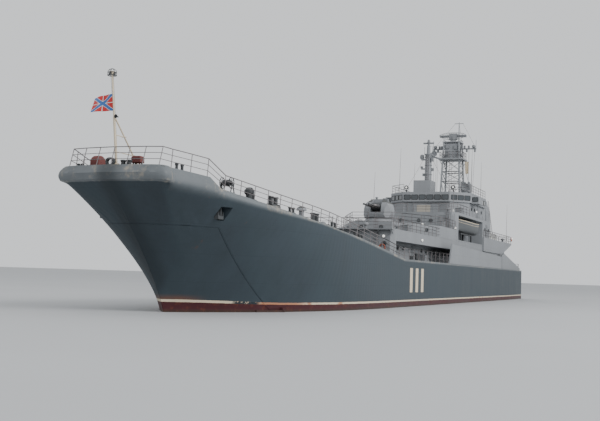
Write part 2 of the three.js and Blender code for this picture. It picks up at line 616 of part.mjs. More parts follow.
function latticeMast() {
  const corner = (sx, sy, height) => {
    const share = (height - MAST.base) / (MAST.top - MAST.base);
    const half = MAST.foot + (MAST.head - MAST.foot) * share;
    return [MAST.x + sx * half, sy * half, height];
  };
  const corners = [[-1, -1], [1, -1], [1, 1], [-1, 1]];
  const foot = MAST.base + 0.1;
  const solids = corners.map(([sx, sy]) => bar(corner(sx, sy, foot), corner(sx, sy, MAST.top), 0.15, 0.13,
    6));
  for (const [sx, sy] of corners) {
    const [x, y] = corner(sx, sy, MAST.base);
    solids.push(box([x - 0.25, y - 0.25, MAST.base], [x + 0.25, y + 0.25, foot + 0.06]));
  }
  for (let bay = 1; bay < MAST_LEVELS.length; bay += 1) {
    const low = MAST_LEVELS[bay - 1] + 0.1;
    const high = MAST_LEVELS[bay] - 0.15;
    corners.forEach(([sx, sy], i) => {
      const [nx, ny] = corners[(i + 1) % 4];
      solids.push(bar(corner(sx, sy, high), corner(nx, ny, high), 0.07, 0.07, 4));
      // Braces cross only the two faces that look to the sides
      if (sy === ny) solids.push(bar(corner(sx, sy, low), corner(nx, ny, high), 0.06, 0.06, 4));
    });
  }
  // Platforms: height, half length, half width, thickness
  for (const [height, halfX, halfY, thick] of [[21.3, 1.6, 1.9, 0.22], [MAST.top, 1.3, 1.35, 0.14]]) {
    solids.push(box([MAST.x - halfX, -halfY, height - thick], [MAST.x + halfX, halfY, height]));
  }
  // Equipment room between the platforms
  solids.push(box([MAST.x - 1.05, -1.05, 21.2], [MAST.x + 1.05, 1.05, 23.6]));
  // Signal yard, raking outrigger with its lamp, and the bracket for the topmast
  solids.push(bar([MAST.x, -3.1, YARD_Z], [MAST.x, 3.6, YARD_Z], 0.11, 0.11, 6));
  solids.push(bar([MAST.x + 1.2, -1.6, 21.2], [MAST.x + 1.2, -3.3, 21.7], 0.14, 0.1, 6));
  solids.push(bar([MAST.x + 1.2, -3.1, 21.55], [MAST.x + 1.2, -3.1, 22.15], 0.3, 0.2, 8));
  solids.push(box([MAST.x - 2.75, 0.1, MAST.top - 0.14], [MAST.x - 1, 0.5, MAST.top]));
  // Signal halyard from the yard to its cleat
  solids.push(bar([MAST.x, HALYARD_Y, MAST.base + 0.1], [MAST.x, HALYARD_Y, YARD_Z], 0.03, 0.03, 6));
  solids.push(box([MAST.x - 0.15, HALYARD_Y - 0.15, MAST.base],
    [MAST.x + 0.15, HALYARD_Y + 0.15, MAST.base + 0.25]));
  return join(solids);
}
part("main_mast", latticeMast(), PAINT.house);

// Signal flag on the halyard, streaming to starboard
const SIGNAL = { width: 0.62, low: 19, high: 20.86, thick: 0.02 };
const signalEdge = HALYARD_Y - 0.03 - SEAT;
part("signal_flag", box(
  [MAST.x - SIGNAL.thick / 2, signalEdge - SIGNAL.width, SIGNAL.low],
  [MAST.x + SIGNAL.thick / 2, signalEdge, SIGNAL.high],
), PAINT.buff);

const SEARCH_Z = MAST.top + PIN;
part("search_radar", join([
  bar([MAST.x, 0, SEARCH_Z], [MAST.x, 0, SEARCH_Z + 0.8], 0.45, 0.35),
  box([MAST.x - 0.3, -0.6, SEARCH_Z + 0.35], [MAST.x + 0.3, 0.6, SEARCH_Z + 1.3]),
  box([MAST.x - 0.14, -2.05, SEARCH_Z + 0.75], [MAST.x + 0.14, 2.05, SEARCH_Z + 1.1]),
]), PAINT.dark);

// Topmast on a bracket abaft the sweep of the search radar
const TOPMAST = { x: MAST.x - 2.5, y: 0.3, top: 27.4, yardZ: 27.2, yardHalf: 0.7 };
part("topmast", join([
  box([TOPMAST.x - 0.15, TOPMAST.y - 0.15, MAST.top + SEAT],
    [TOPMAST.x + 0.15, TOPMAST.y + 0.15, MAST.top + 0.2]),
  bar([TOPMAST.x, TOPMAST.y, MAST.top + 0.1], [TOPMAST.x, TOPMAST.y, TOPMAST.top], 0.1, 0.06, 8),
  bar(
    [TOPMAST.x, TOPMAST.y - TOPMAST.yardHalf, TOPMAST.yardZ],
    [TOPMAST.x, TOPMAST.y + TOPMAST.yardHalf, TOPMAST.yardZ], 0.05, 0.05, 6,
  ),
]), PAINT.house);

// Funnels, one each side abaft the bridge
const FUNNEL = { aft: -40.5, fore: -36.8, inner: 1.6, outer: 5, top: 15.2 };
for (const [name, side] of SIDES) {
  const y0 = Math.min(side * FUNNEL.inner, side * FUNNEL.outer);
  const y1 = Math.max(side * FUNNEL.inner, side * FUNNEL.outer);
  const low = AFT_DECK + SEAT;
  const body = acrossPlate([
    [FUNNEL.aft, low], [FUNNEL.fore, low], [FUNNEL.fore - 0.5, FUNNEL.top - 0.8],
    [FUNNEL.fore - 1.2, FUNNEL.top], [FUNNEL.aft + 0.8, FUNNEL.top],
  ], y0, y1);
  const leaning = alongPlate([
    [side * FUNNEL.inner, low - 1], [side * FUNNEL.outer, low - 1], [side * (FUNNEL.outer - 0.2), 13.4],
    [side * (FUNNEL.outer - 0.7), FUNNEL.top + 0.1], [side * FUNNEL.inner, FUNNEL.top + 0.1],
  ], FUNNEL.aft - 1, FUNNEL.fore + 1);
  const mouth = box([FUNNEL.aft + 1.1, y0 + 0.6, FUNNEL.top - 0.9],
    [FUNNEL.fore - 1.5, y1 - 0.9, FUNNEL.top + 1]);
  part(`funnel_${name}`, body.intersect(leaning).subtract(mouth), PAINT.house);
}

// Boats on davits in their bays
const BOAT = { aft: -25.5, fore: -15.5, y: 5.45, z: 10.2, half: 1, depth: 1.1 };
for (const [name, side] of SIDES) {
  const y = side * BOAT.y;
  const middleX = (BOAT.fore + BOAT.aft) / 2;
  const halfLength = (BOAT.fore - BOAT.aft) / 2;
  const plan = [];
  for (let step = 0; step < 16; step += 1) {
    const angle = (step / 16) * 2 * Math.PI;
    const along = Math.sign(Math.cos(angle)) * Math.abs(Math.cos(angle)) ** 0.8;
    plan.push([middleX + halfLength * along, y + BOAT.half * Math.sin(angle)]);
  }
  const profile = acrossPlate([
    [BOAT.aft, BOAT.z], [BOAT.aft + 1.1, BOAT.z - BOAT.depth], [BOAT.fore - 1.6, BOAT.z - BOAT.depth],
    [BOAT.fore, BOAT.z + 0.15], [BOAT.fore - 1.2, BOAT.z + 0.55], [BOAT.aft + 1, BOAT.z + 0.6],
  ], y - 1.2, y + 1.2);
  part(`boat_${name}`, planPlate(plan, BOAT.z - 1.5, BOAT.z + 1).intersect(profile), PAINT.house);
  // Two bent davit arms stand inboard of the boat, joined by the keel rail that carries it
  const inner = side * (BAY.inner + 0.2);
  const floor = BAY.low + SEAT;
  const railTop = BOAT.z - BOAT.depth - SEAT;
  const arms = [BOAT.aft + 1.8, BOAT.fore - 2].map((x) => join([
    box([x - 0.14, inner - 0.12, floor], [x + 0.14, inner + 0.12, BAY.high - 0.12]),
    bar([x, inner, BAY.high - 0.2], [x, y, BAY.high - 0.22], 0.1, 0.08, 6),
    box([x - 0.1, Math.min(inner, y) - 0.12, floor], [x + 0.1, Math.max(inner, y) + 0.12, floor + 0.12]),
    box([x - 0.1, y - 0.1, floor], [x + 0.1, y + 0.1, railTop]),
  ]));
  arms.push(box([BOAT.aft + 1.5, y - 0.1, railTop - 0.16], [BOAT.fore - 1.65, y + 0.1, railTop]));
  part(`davits_${name}`, join(arms), PAINT.dark);
}

// Aft gun deck: a low house whose side plating sweeps up under the deck end
const AFT_HOUSE = { fore: HOUSE2.aft - SEAT, aft: -45, half: 5.8, deckAft: -50.1, deckHalf: 6.4 };
const SIDE_PLATE = [
  [BAY.aft - 0.1, 7.05], [BAY.aft - 0.1, AFT_DECK], [AFT_HOUSE.deckAft, AFT_DECK],
  [AFT_HOUSE.deckAft, AFT_DECK - 0.2], [-44.5, 7.6], [-41, 7.05],
];
part("aft_gun_deck", join([
  box([AFT_HOUSE.aft, -AFT_HOUSE.half, HOUSE1_TOP + SEAT], [AFT_HOUSE.fore, AFT_HOUSE.half, AFT_DECK - 0.1]),
  box([AFT_HOUSE.deckAft, -AFT_HOUSE.deckHalf, AFT_DECK - 0.2],
    [AFT_HOUSE.fore, AFT_HOUSE.deckHalf, AFT_DECK]),
  ...SIDES.map(([, side]) => {
    const inner = side * (HOUSE1.half + SEAT);
    const outer = side * AFT_HOUSE.deckHalf;
    return acrossPlate(SIDE_PLATE, Math.min(inner, outer), Math.max(inner, outer));
  }),
]), PAINT.house);

// Bulwarks that slope down along the quarterdeck
for (const [name, side] of SIDES) {
  const y0 = Math.min(side * 6.75, side * 6.95);
  const y1 = Math.max(side * 6.75, side * 6.95);
  part(`quarter_bulwark_${name}`, acrossPlate([
    [-39.3, WAIST_Z + SEAT], [-39.3, 6.9], [-41, 7.15], [-55.4, 5.1], [-55.4, WAIST_Z + SEAT],
  ], y0, y1), PAINT.house);
}

// Jackstaff, its leg and the jack
const JACK = { x: 55.1, topX: 56, top: 15.2, legX: 52.1, legTop: 12.55 };
const jackFoot = padTop("jackstaff") + SEAT;
const legFoot = padTop("jackLeg") + SEAT;
const jackAt = (z) => JACK.x + ((JACK.topX - JACK.x) * (z - jackFoot)) / (JACK.top - jackFoot);
part("jackstaff", join([
  bar([JACK.x, 0, jackFoot + 0.05], [jackAt(12.5), 0, 12.5], 0.085, 0.08),
  bar([jackAt(12.45), 0, 12.45], [JACK.topX, 0, JACK.top], 0.055, 0.05),
  bar([JACK.x, 0, jackFoot], [JACK.x, 0, jackFoot + 0.12], 0.2),
  bar([jackAt(JACK.legTop), 0, JACK.legTop], [JACK.legX, 0, legFoot + 0.05], 0.05, 0.05, 8),
  bar([JACK.legX, 0, legFoot], [JACK.legX, 0, legFoot + 0.15], 0.15),
  bar([JACK.topX, 0, JACK.top - 0.1], [JACK.topX, 0, JACK.top + 0.1], 0.14),
]), PAINT.buff);
// The jack streams to starboard, its hoist along the leaning staff
const FLAG = { length: 1.6, height: 1.05, top: 13.9, hoistY: 0.057, thick: 0.02 };
const flagLow = FLAG.top - FLAG.height;
part("jack_flag", acrossPlate([
  [jackAt(flagLow) - FLAG.thick / 2, flagLow], [jackAt(flagLow) + FLAG.thick / 2, flagLow],
  [jackAt(FLAG.top) + FLAG.thick / 2, FLAG.top], [jackAt(FLAG.top) - FLAG.thick / 2, FLAG.top],
], -FLAG.hoistY - FLAG.length, -FLAG.hoistY), PAINT.cloth);

part("ensign_staff", join([
  bar([-55.2, 0, WAIST_Z + 0.05], [-55.9, 0, 9.3], 0.08, 0.05, 8),
  bar([-55.2, 0, WAIST_Z + SEAT], [-55.2, 0, WAIST_Z + 0.2], 0.22),
]), PAINT.buff);

// Anchors in their pockets
for (const [name, side] of SIDES) {
  const { x, z, seatY } = ANCHOR;
  const near = side * (seatY + SEAT);
  const far = side * (seatY + 0.3);
  part(`anchor_${name}`, acrossPlate([
    [x - 0.07, z + 0.42], [x - 0.07, z - 0.14], [x - 0.25, z - 0.1], [x - 0.3, z + 0.2], [x - 0.4, z - 0.14],
    [x - 0.36, z - 0.35], [x + 0.36, z - 0.35], [x + 0.4, z - 0.14], [x + 0.3, z + 0.2], [x + 0.25, z - 0.1],
    [x + 0.07, z - 0.14], [x + 0.07, z + 0.42],
  ], Math.min(near, far), Math.max(near, far)), PAINT.dark);
}

// Windlass: bed, shaft and drums
function windlass(x, y, foot) {
  const shaftZ = foot + 0.75;
  return join([
    box([x - 0.7, y - 1.8, foot], [x + 0.7, y + 1.8, foot + 0.15]),
    box([x - 0.55, y - 0.4, foot + 0.1], [x + 0.45, y + 0.4, foot + 1.1]),
    ...[y - 1.2, y + 1.2].map((at) => box([x - 0.3, at - 0.1, foot + 0.1],
      [x + 0.3, at + 0.1, shaftZ + 0.2])),
    bar([x, y - 1.75, shaftZ], [x, y + 1.75, shaftZ], 0.12),
    ...[y - 0.8, y + 0.8].map((at) => bar([x, at - 0.22, shaftZ], [x, at + 0.22, shaftZ], 0.42, 0.42, 16)),
    ...[y - 1.6, y + 1.6].map((at) => bar([x, at - 0.15, shaftZ], [x, at + 0.15, shaftZ], 0.28, 0.28, 16)),
  ]);
}
part("windlass", windlass(PADS.windlass[0], 0, padTop("windlass") + SEAT), PAINT.dark);
part("stern_winch", windlass(-53, 0, WAIST_Z + SEAT), PAINT.dark);

// Covered cable reel, lying across
{
  const [x, y] = PADS.cableReel;
  const foot = padTop("cableReel") + SEAT;
  part("cable_reel", join([
    bar([x, y - 0.18, foot + 0.5], [x, y + 0.18, foot + 0.5], 0.34, 0.34, 20),
    ...[y - 0.21, y + 0.21].map((at) => box([x - 0.2, at - 0.06, foot], [x + 0.2, at + 0.06, foot + 0.53])),
  ]), PAINT.brown);
}

// Covered locker on four legs
{
  const [x, y] = PADS.locker;
  const foot = padTop("locker") + SEAT;
  const chest = box([x - 0.2, y - 0.3, foot + 0.36], [x + 0.2, y + 0.3, foot + 0.7]);
  const legs = [[-1, -1], [1, -1], [1, 1], [-1, 1]].map(([sx, sy]) => box(
    [x + sx * 0.14 - 0.04, y + sy * 0.23 - 0.04, foot],
    [x + sx * 0.14 + 0.04, y + sy * 0.23 + 0.04, foot + 0.4],
  ));
  part("locker", join([chest, ...legs]), PAINT.brown);
}

// Wire reel between two hand wheels
{
  const [x, y] = PADS.wheelReel;
  const foot = padTop("wheelReel") + SEAT;
  const axle = foot + 0.78;
  part("wire_reel", join([
    bar([x, y - 0.48, axle], [x, y + 0.48, axle], 0.08),
    bar([x, y - 0.32, axle], [x, y + 0.32, axle], 0.2, 0.2, 16),
    ...[y - 0.35, y + 0.35].map((at) => bar([x, at - 0.03, axle], [x, at + 0.03, axle], 0.42, 0.42, 20)),
    ...[y - 0.44, y + 0.44].map((at) => acrossPlate(
      [[x - 0.3, foot], [x + 0.3, foot], [x + 0.08, axle + 0.1], [x - 0.08, axle + 0.1]],
      at - 0.03, at + 0.03,
    )),
  ]), PAINT.dark);
}

// Round cowl, bollards and mushroom vents
{
  const [x, y] = PADS.cowl;
  const foot = padTop("cowl") + SEAT;
  part("cowl", turned([[0, foot], [0.24, foot], [0.24, foot + 0.3], [0.36, foot + 0.42], [0.36, foot + 0.62],
    [0.2, foot + 0.82], [0, foot + 0.85]], x, y), PAINT.dark);
}
for (const [name, key] of [["port", "bollardsPort"], ["starboard", "bollardsStarboard"]]) {
  const [x, y] = PADS[key];
  const foot = padTop(key) + SEAT;
  part(`bollards_${name}`, join([
    box([x - 0.7, y - 0.25, foot], [x + 0.7, y + 0.25, foot + 0.1]),
    ...[-0.42, 0.42].map((offset) => bar([x + offset, y, foot + 0.05], [x + offset, y, foot + 0.6], 0.17)),
    ...[-0.42, 0.42].map((offset) => bar([x + offset, y, foot + 0.55], [x + offset, y, foot + 0.65], 0.22)),
  ]), PAINT.dark);
}
for (const [name, key] of [["port", "ventPort"], ["starboard", "ventStarboard"]]) {
  const [x, y] = PADS[key];
  const foot = padTop(key) + SEAT;
  part(`vent_${name}`, turned([[0, foot], [0.2, foot], [0.2, foot + 0.45], [0.4, foot + 0.45],
    [0.36, foot + 0.62], [0.2, foot + 0.75], [0, foot + 0.78]], x, y), PAINT.house);
}

// Hatch lid, hinged on the aft edge of its coaming
part("hatch_cover", join([
  box([HATCH.aft, -HATCH.half, HATCH.top + SEAT], [HATCH.fore, HATCH.half, HATCH.top + HATCH.lid]),
  ...HATCH_BARRELS.map((y) => bar(
    [HATCH_PIVOT[0], y - HATCH_BARREL_HALF, HATCH_PIVOT[1]],
    [HATCH_PIVOT[0], y + HATCH_BARREL_HALF, HATCH_PIVOT[1]], 0.1,
  )),
  ...HATCH_BARRELS.map((y) => box(
    [HATCH_PIVOT[0], y - HATCH_BARREL_HALF, HATCH_PIVOT[1] - 0.04],
    [HATCH.aft + 0.1, y + HATCH_BARREL_HALF, HATCH_PIVOT[1] + 0.08],
  )),
]), PAINT.hull);

// Bilge keels on the turn of the bilge
for (const [name, side] of SIDES) {
  const centre = [HALF_BEAM - BILGE_RADIUS, -DRAUGHT + BILGE_RADIUS];
  const out = Math.SQRT1_2;
  const at = (reach, across) => [
    side * (centre[0] + reach * out + across * out), centre[1] - reach * out + across * out,
  ];
  part(`bilge_keel_${name}`, alongPlate(
    [at(BILGE_RADIUS + SEAT, -0.035), at(1.6, -0.035), at(1.6, 0.035), at(BILGE_RADIUS + SEAT, 0.035)],
    -28, 8,
  ), PAINT.red);
}

// Shafts with their struts, propellers and rudders
for (const [name, side] of SIDES) {
  const { x, z, radius } = PROPELLER;
  const y = side * PROPELLER.y;
  part(`shaft_${name}`, join([
    bar([SHAFT_START_X - SEAT, y, z], [x + 0.25 + PIN, y, z], 0.15),
    bar([STRUT_X - 0.35, y, z], [STRUT_X + 0.35, y, z], 0.24),
    box([STRUT_X - 0.25, y - 0.08, z], [STRUT_X + 0.25, y + 0.08, STRUT_PAD_Z - SEAT]),
  ]), PAINT.red);
  const hub = bar([x + 0.25, y, z], [x - 0.25, y, z], 0.2, 0.15, 16);
  const cone = bar([x - 0.2, y, z], [x - 0.45, y, z], 0.15, 0.05, 16);
  const blades = [0, 1, 2, 3].map((index) => {
    const blade = new THREE.CylinderGeometry(0.3, 0.3, 0.06, 16);
    blade.scale(0.9, 1, 1.25);
    blade.rotateZ(Math.PI / 2);
    blade.translate(0, 0, radius - 0.375);
    const pitch = new THREE.Matrix4().makeRotationZ(side * THREE.MathUtils.degToRad(35));
    const turn = new THREE.Matrix4().makeRotationX((index * Math.PI) / 2 + Math.PI / 4);
    blade.applyMatrix4(pitch).applyMatrix4(turn);
    return toManifold(blade.translate(x, y, z));
  });
  part(`propeller_${name}`, join([hub, cone, ...blades]), PAINT.bronze);
  part(`rudder_${name}`, join([
    planPlate([
      [RUDDER.x - 1, y], [RUDDER.x - 0.2, y - 0.14], [RUDDER.x + 0.45, y - 0.1], [RUDDER.x + 0.55, y],
      [RUDDER.x + 0.45, y + 0.1], [RUDDER.x - 0.2, y + 0.14],
    ], RUDDER.low, RUDDER.top),
    bar([RUDDER.x, y, RUDDER.top - 0.1], [RUDDER.x, y, RUDDER.padZ - PIN], 0.11),
  ]), PAINT.red);
}

// Life raft racks on the edge of the aft gun deck: x of each canister, from the first
const RAFTS = { count: 3, x: -38.2, step: 1.9, y: 5.75, radius: 0.36, halfLength: 0.75 };
for (const [name, side] of SIDES) {
  const y = side * RAFTS.y;
  const canisterX = Array.from({ length: RAFTS.count }, (_, index) => RAFTS.x + index * RAFTS.step);
  const axisZ = AFT_DECK + 0.65;
  const canisters = canisterX.map((x) => bar(
    [x - RAFTS.halfLength, y, axisZ], [x + RAFTS.halfLength, y, axisZ], RAFTS.radius, RAFTS.radius, 14,
  ));
  const cradles = canisterX.flatMap((x) => [-0.45, 0.45].map((offset) => box(
    [x + offset - 0.06, y - 0.4, AFT_DECK + SEAT], [x + offset + 0.06, y + 0.4, AFT_DECK + 0.45],
  )));
  const railEnd = RAFTS.x + (RAFTS.count - 1) * RAFTS.step + 0.8;
  const rail = box([RAFTS.x - 0.8, y - 0.3, AFT_DECK + SEAT], [railEnd, y + 0.3, AFT_DECK + 0.12]);
  part(`raft_rack_${name}`, join([...canisters, ...cradles, rail]), PAINT.house);
}

// Gun director on the bridge roof
const DIRECTOR = { x: -30.4, y: 3.2, drumTop: 15.9, headTop: 17 };
part("gun_director", join([
  turned([[0, BRIDGE_TOP + SEAT], [0.8, BRIDGE_TOP + SEAT], [0.65, DIRECTOR.drumTop], [0, DIRECTOR.drumTop]],
    DIRECTOR.x, DIRECTOR.y, 16),
  box([DIRECTOR.x - 0.6, DIRECTOR.y - 0.7, DIRECTOR.drumTop - 0.1],
    [DIRECTOR.x + 0.6, DIRECTOR.y + 0.7, DIRECTOR.headTop]),
]), PAINT.house);

ship.scale.setScalar(1000 / MODEL_SCALE);
ship.position.z = DRAUGHT * 1000 / MODEL_SCALE;

export default ship;
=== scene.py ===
"""Landing ship with bow doors, 1:10 scale model: surfaces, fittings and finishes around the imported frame.

Sizes are in metres of the full-size ship: x forward of midship, y to port and z above the water.
place() turns them into the frame's own metres.
"""
import functools
import json
import math

import bmesh
import bpy
import numpy as np
from mathutils import Matrix, Vector
from mathutils.bvhtree import BVHTree

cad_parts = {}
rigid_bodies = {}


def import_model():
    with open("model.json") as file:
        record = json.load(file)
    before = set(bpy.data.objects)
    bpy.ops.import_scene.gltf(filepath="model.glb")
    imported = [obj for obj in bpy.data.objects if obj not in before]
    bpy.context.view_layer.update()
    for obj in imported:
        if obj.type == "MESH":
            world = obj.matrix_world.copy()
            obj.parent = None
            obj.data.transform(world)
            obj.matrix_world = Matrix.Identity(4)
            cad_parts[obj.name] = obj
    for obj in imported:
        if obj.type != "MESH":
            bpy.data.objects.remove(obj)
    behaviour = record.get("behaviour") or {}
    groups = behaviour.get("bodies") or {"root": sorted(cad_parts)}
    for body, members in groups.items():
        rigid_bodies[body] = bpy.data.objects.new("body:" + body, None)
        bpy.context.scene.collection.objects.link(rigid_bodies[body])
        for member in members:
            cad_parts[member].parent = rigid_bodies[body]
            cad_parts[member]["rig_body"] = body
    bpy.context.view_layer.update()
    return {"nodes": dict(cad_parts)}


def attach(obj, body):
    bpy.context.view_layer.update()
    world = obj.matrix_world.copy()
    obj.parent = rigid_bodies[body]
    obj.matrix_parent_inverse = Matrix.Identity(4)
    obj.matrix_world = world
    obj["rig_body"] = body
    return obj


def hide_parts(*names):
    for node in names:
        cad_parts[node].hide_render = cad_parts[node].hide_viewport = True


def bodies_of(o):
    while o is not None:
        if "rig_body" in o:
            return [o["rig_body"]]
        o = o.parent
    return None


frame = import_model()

bl_info = {
    "name": "Landing Ship Fitting Out",
    "version": (1, 0, 0),
    "blender": (4, 5, 0),
    "location": "3D View > Sidebar > Ship",
    "description": "Builds the shell, fittings, cloth and paint of a scale landing ship around its packed model",
    "category": "Object",
}

MODEL_SCALE = 10
DRAUGHT = 3.7
SIDES = (("port", 1), ("starboard", -1))

# Hull lines
STEM_X = 48.65
STEM_RAKE = 7.18
STEM_CURVE = 1.3
FOREFOOT = 9
KNUCKLE_Z = 8.38
FRONT_HALF = 3.4
FRONT_CURVE = 1.9
FRONT_DEPTH = 2
HALF_BEAM = 7.5
ENTRY = 33
ENTRY_CURVE = 3.5
TRANSOM_X = -56.25
STERN_TAPER_X = -35
STERN_TAPER = 0.4
BILGE_TOP = -2.5
RUN_X = -32
RUN_RISE = 2.8
WAIST_Z = 4.75
# Bow door seam: it leans forward from a point, between two heights, and both doors meet on the centreline
SEAM_X = 41.5
SEAM_Z = 0.6
SEAM_ANGLE = math.atan(0.706)
DOOR_LOW = -0.55
DOOR_HIGH = 5.9
DOOR_GAP = 0.055
DOOR_SPLIT = 0.03
# Deck edge: x and height
SHEER = np.array([
    (TRANSOM_X, WAIST_Z), (15.3, WAIST_Z), (25, 5.8), (31.4, 6.45), (36.1, 6.92), (40, 7.25),
    (43.1, 7.51), (46.3, 7.87), (49.4, 8.24), (50.4, 8.38), (51.4, 9.04), (54.4, 9.3), (56.5, 9.45),
])
# Band under the deck edge: x and height of the band
BAND = np.array([
    (TRANSOM_X, 0.15), (38, 0.2), (43.1, 0.32), (46.3, 0.42), (50.4, 0.52), (51.4, 1.02), (54.4, 1.03), (57, 1.05),
])
# Bulge of the band at three shares of its height, at the bow and on the side
BULGE_FRONT = np.polyfit((0.1, 0.5, 1), (0.32, 0.42, 0.1), 2)
BULGE_SIDE = np.polyfit((0.1, 0.5, 1), (0.02, -0.04, -0.25), 2)

# Deck heights
HOUSE1_TOP = 7.8
GUN_DECK = 9.2
AFT_DECK = 9.05
HOUSE2_TOP = 11.5
BRIDGE_TOP = 14.85
SEAT = 0.003

# Masts, boats and turrets
MAST_X = -34.8
MAST_TOP = 23.9
FORE_X, FORE_Y = -21.2, -0.18
BOAT_Y = 5.45
TURRET_BASE = 0.51
# Turrets: name, place, the way that they face and deck
TURRETS = (("fore", 1, 1, GUN_DECK), ("aft", -44.5, -1, AFT_DECK))

# Hull paint
WATERLINE = DRAUGHT / MODEL_SCALE
STRIPE_LOW = 0.55
STRIPE_HIGH = 0.7
MARK_AFT = 8.3
MARK_PITCH = 2.1
MARK_SHARE = 0.45
MARK_LOW = 1.45
MARK_HIGH = 3.9
STRIPE_WEAR = (0.42, 0.13, 0.045, 1.0)
RUST_COLOUR = (0.17, 0.062, 0.026, 1.0)
# Cuts of each side of a triangle of the shell
SHELL_CUTS = 4
# Every material by the name of its finish
FINISHES = {}


# Surfaces: a part is an array of points and a list of face arrays, each with one number of corners

def place(points):
    """Full-size ship metres to frame metres: divided by the scale, after the draught is added to the height."""
    return (np.asarray(points, float) + (0, 0, DRAUGHT)) / MODEL_SCALE


def beside(*numbers):
    """Points from their numbers: arrays and plain numbers are spread over each other and set side by side."""
    return np.stack(np.broadcast_arrays(*numbers), axis=-1)


def grid(points, wrap=False, caps=False):
    """Surface over an (n, m) grid of points: each cell of neighbouring points is one face. wrap joins the last
    column to the first, and caps closes the first and last rows with one face each."""
    points = np.asarray(points, float)
    rows, columns = points.shape[:2]
    index = np.arange(rows * columns).reshape(rows, columns)
    nexts = np.roll(index, -1, axis=1) if wrap else index[:, 1:]
    here = index if wrap else index[:, :-1]
    faces = [np.stack([here[:-1], nexts[:-1], nexts[1:], here[1:]], axis=-1).reshape(-1, 4)]
    if caps:
        faces += [index[:1, ::-1], index[-1:]]
    return points.reshape(-1, 3), faces


def join(parts):
    """One part from several: the points follow each other and the faces are renumbered."""
    points, faces, start = [], [], 0
    for part_points, part_faces in parts:
        points.append(part_points)
        faces += [array + start for array in part_faces]
        start += len(part_points)
    return np.concatenate(points), faces


def copies(part, offsets):
    """The part moved by each offset, as one part."""
    points, faces = part
    return repeated(points[None] + np.atleast_2d(offsets)[:, None], faces)


def repeated(placed, faces):
    """One part from an (n, m) array of points: the same faces on each of its rows."""
    starts = np.arange(len(placed))[:, None, None] * placed.shape[1]
    return placed.reshape(-1, 3), [(array[None] + starts).reshape(-1, array.shape[1]) for array in faces]


def mirror(part):
    """The part on the other side of the ship: y changes sign and each face turns round."""
    points, faces = part
    return points * (1, -1, 1), [array[:, ::-1] for array in faces]


def both(part):
    """The part and its mirror."""
    return join([part, mirror(part)])


def two_sided(*places):
    """The places and those across the ship from them."""
    return [(x, side * y, *rest) for x, y, *rest in places for side in (1, -1)]


def turned_by(part, degrees, axis, centre):
    """The part turned about an axis through a centre by the usual rotation matrix."""
    turn = np.array(Matrix.Rotation(math.radians(degrees), 3, axis))
    points, faces = part
    return (points - centre) @ turn.T + centre, faces


def unit(vectors):
    """Vectors divided by their lengths."""
    return vectors / np.maximum(np.linalg.norm(vectors, axis=-1, keepdims=True), 1e-9)


def ring(sides, start=0.0):
    """Cosine and sine of angles spaced evenly round a circle."""
    angles = np.arange(sides) * 2 * math.pi / sides + start
    return beside(np.cos(angles), np.sin(angles))


def circles(tangent, reference, radius, sides):
    """A circle square to each direction: radius (cos a * normal + sin a * binormal)."""
    normal = unit(np.cross(tangent, reference))
    binormal = np.cross(tangent, normal)
    radius = np.broadcast_to(radius, len(tangent))[:, None, None]
    circle = ring(sides)[None]
    return radius * (circle[..., :1] * normal[:, None] + circle[..., 1:] * binormal[:, None])


def tube(path, radius, sides=8):
    """Circle carried along a path, with both ends closed."""
    path = np.asarray(path, float)
    tangent = unit(np.gradient(path, axis=0))
    reference = np.eye(3)[np.argmin(np.abs(tangent).mean(axis=0))]
    return grid(path[:, None] + circles(tangent, reference, radius, sides), wrap=True, caps=True)


def bars(starts, ends, radius, sides=6):
    """Straight round bars from each start to each end, worked out together as one array."""
    starts, ends = np.atleast_2d(starts).astype(float), np.atleast_2d(ends).astype(float)
    tangent = unit(ends - starts)
    reference = np.where(np.abs(tangent[:, 2:]) < 0.8, (0.0, 0.0, 1.0), (1.0, 0.0, 0.0))
    around = circles(tangent, reference, radius, sides)
    points = np.stack([starts[:, None] + around, ends[:, None] + around], axis=1)
    index = np.arange(points[..., 0].size).reshape(len(starts), 2, sides)
    low, high = index[:, 0], index[:, 1]
    quads = beside(low, np.roll(low, -1, axis=1), np.roll(high, -1, axis=1), high)
    return points.reshape(-1, 3), [quads.reshape(-1, 4), low[:, ::-1], high]


def prism(outline, axis, low, high):
    """Flat outline carried straight along one axis. The outline's two numbers are the other axes in order."""
    outline = np.asarray(outline, float)
    layers = np.empty((2, len(outline), 3))
    others = [index for index in range(3) if index != axis]
    layers[..., others] = outline
    layers[0, :, axis] = low
    layers[1, :, axis] = high
    return grid(layers, wrap=True, caps=True)


def slab(low, high):
    """Rectangle between two corners carried up from the low height to the high one."""
    (x0, y0, z0), (x1, y1, z1) = low, high
    return prism([(x0, y0), (x1, y0), (x1, y1), (x0, y1)], 2, z0, z1)


def lathe(profile, centre, sides=24, axis=2):
    """Profile of (radius, height) pairs turned about an axis through the centre: the points of each height lie
    on a circle of that radius."""
    profile = np.asarray(profile, float)
    circle = ring(sides)
    points = np.empty((len(profile), sides, 3))
    first, second = [(1, 2), (2, 0), (0, 1)][axis]
    points[..., first] = profile[:, :1] * circle[:, 0]
    points[..., second] = profile[:, :1] * circle[:, 1]
    points[..., axis] = profile[:, 1:]
    return grid(points + centre, wrap=True, caps=True)


def rounded(half_a, half_b, power=4, count=32):
    """Closed outline halfway between an ellipse and a rectangle: each axis is half * sign(c) |c| ** (2 / power)."""
    circle = ring(count, math.pi / count)
    return np.sign(circle) * np.abs(circle) ** (2 / power) * (half_a, half_b)


# Mesh objects

def new_mesh(name, points, faces):
    """Mesh from points in ship metres and a list of face arrays."""
    mesh = bpy.data.meshes.new(name)
    mesh.from_pydata(place(points).tolist(), [], [face for array in faces for face in array.tolist()])
    return mesh


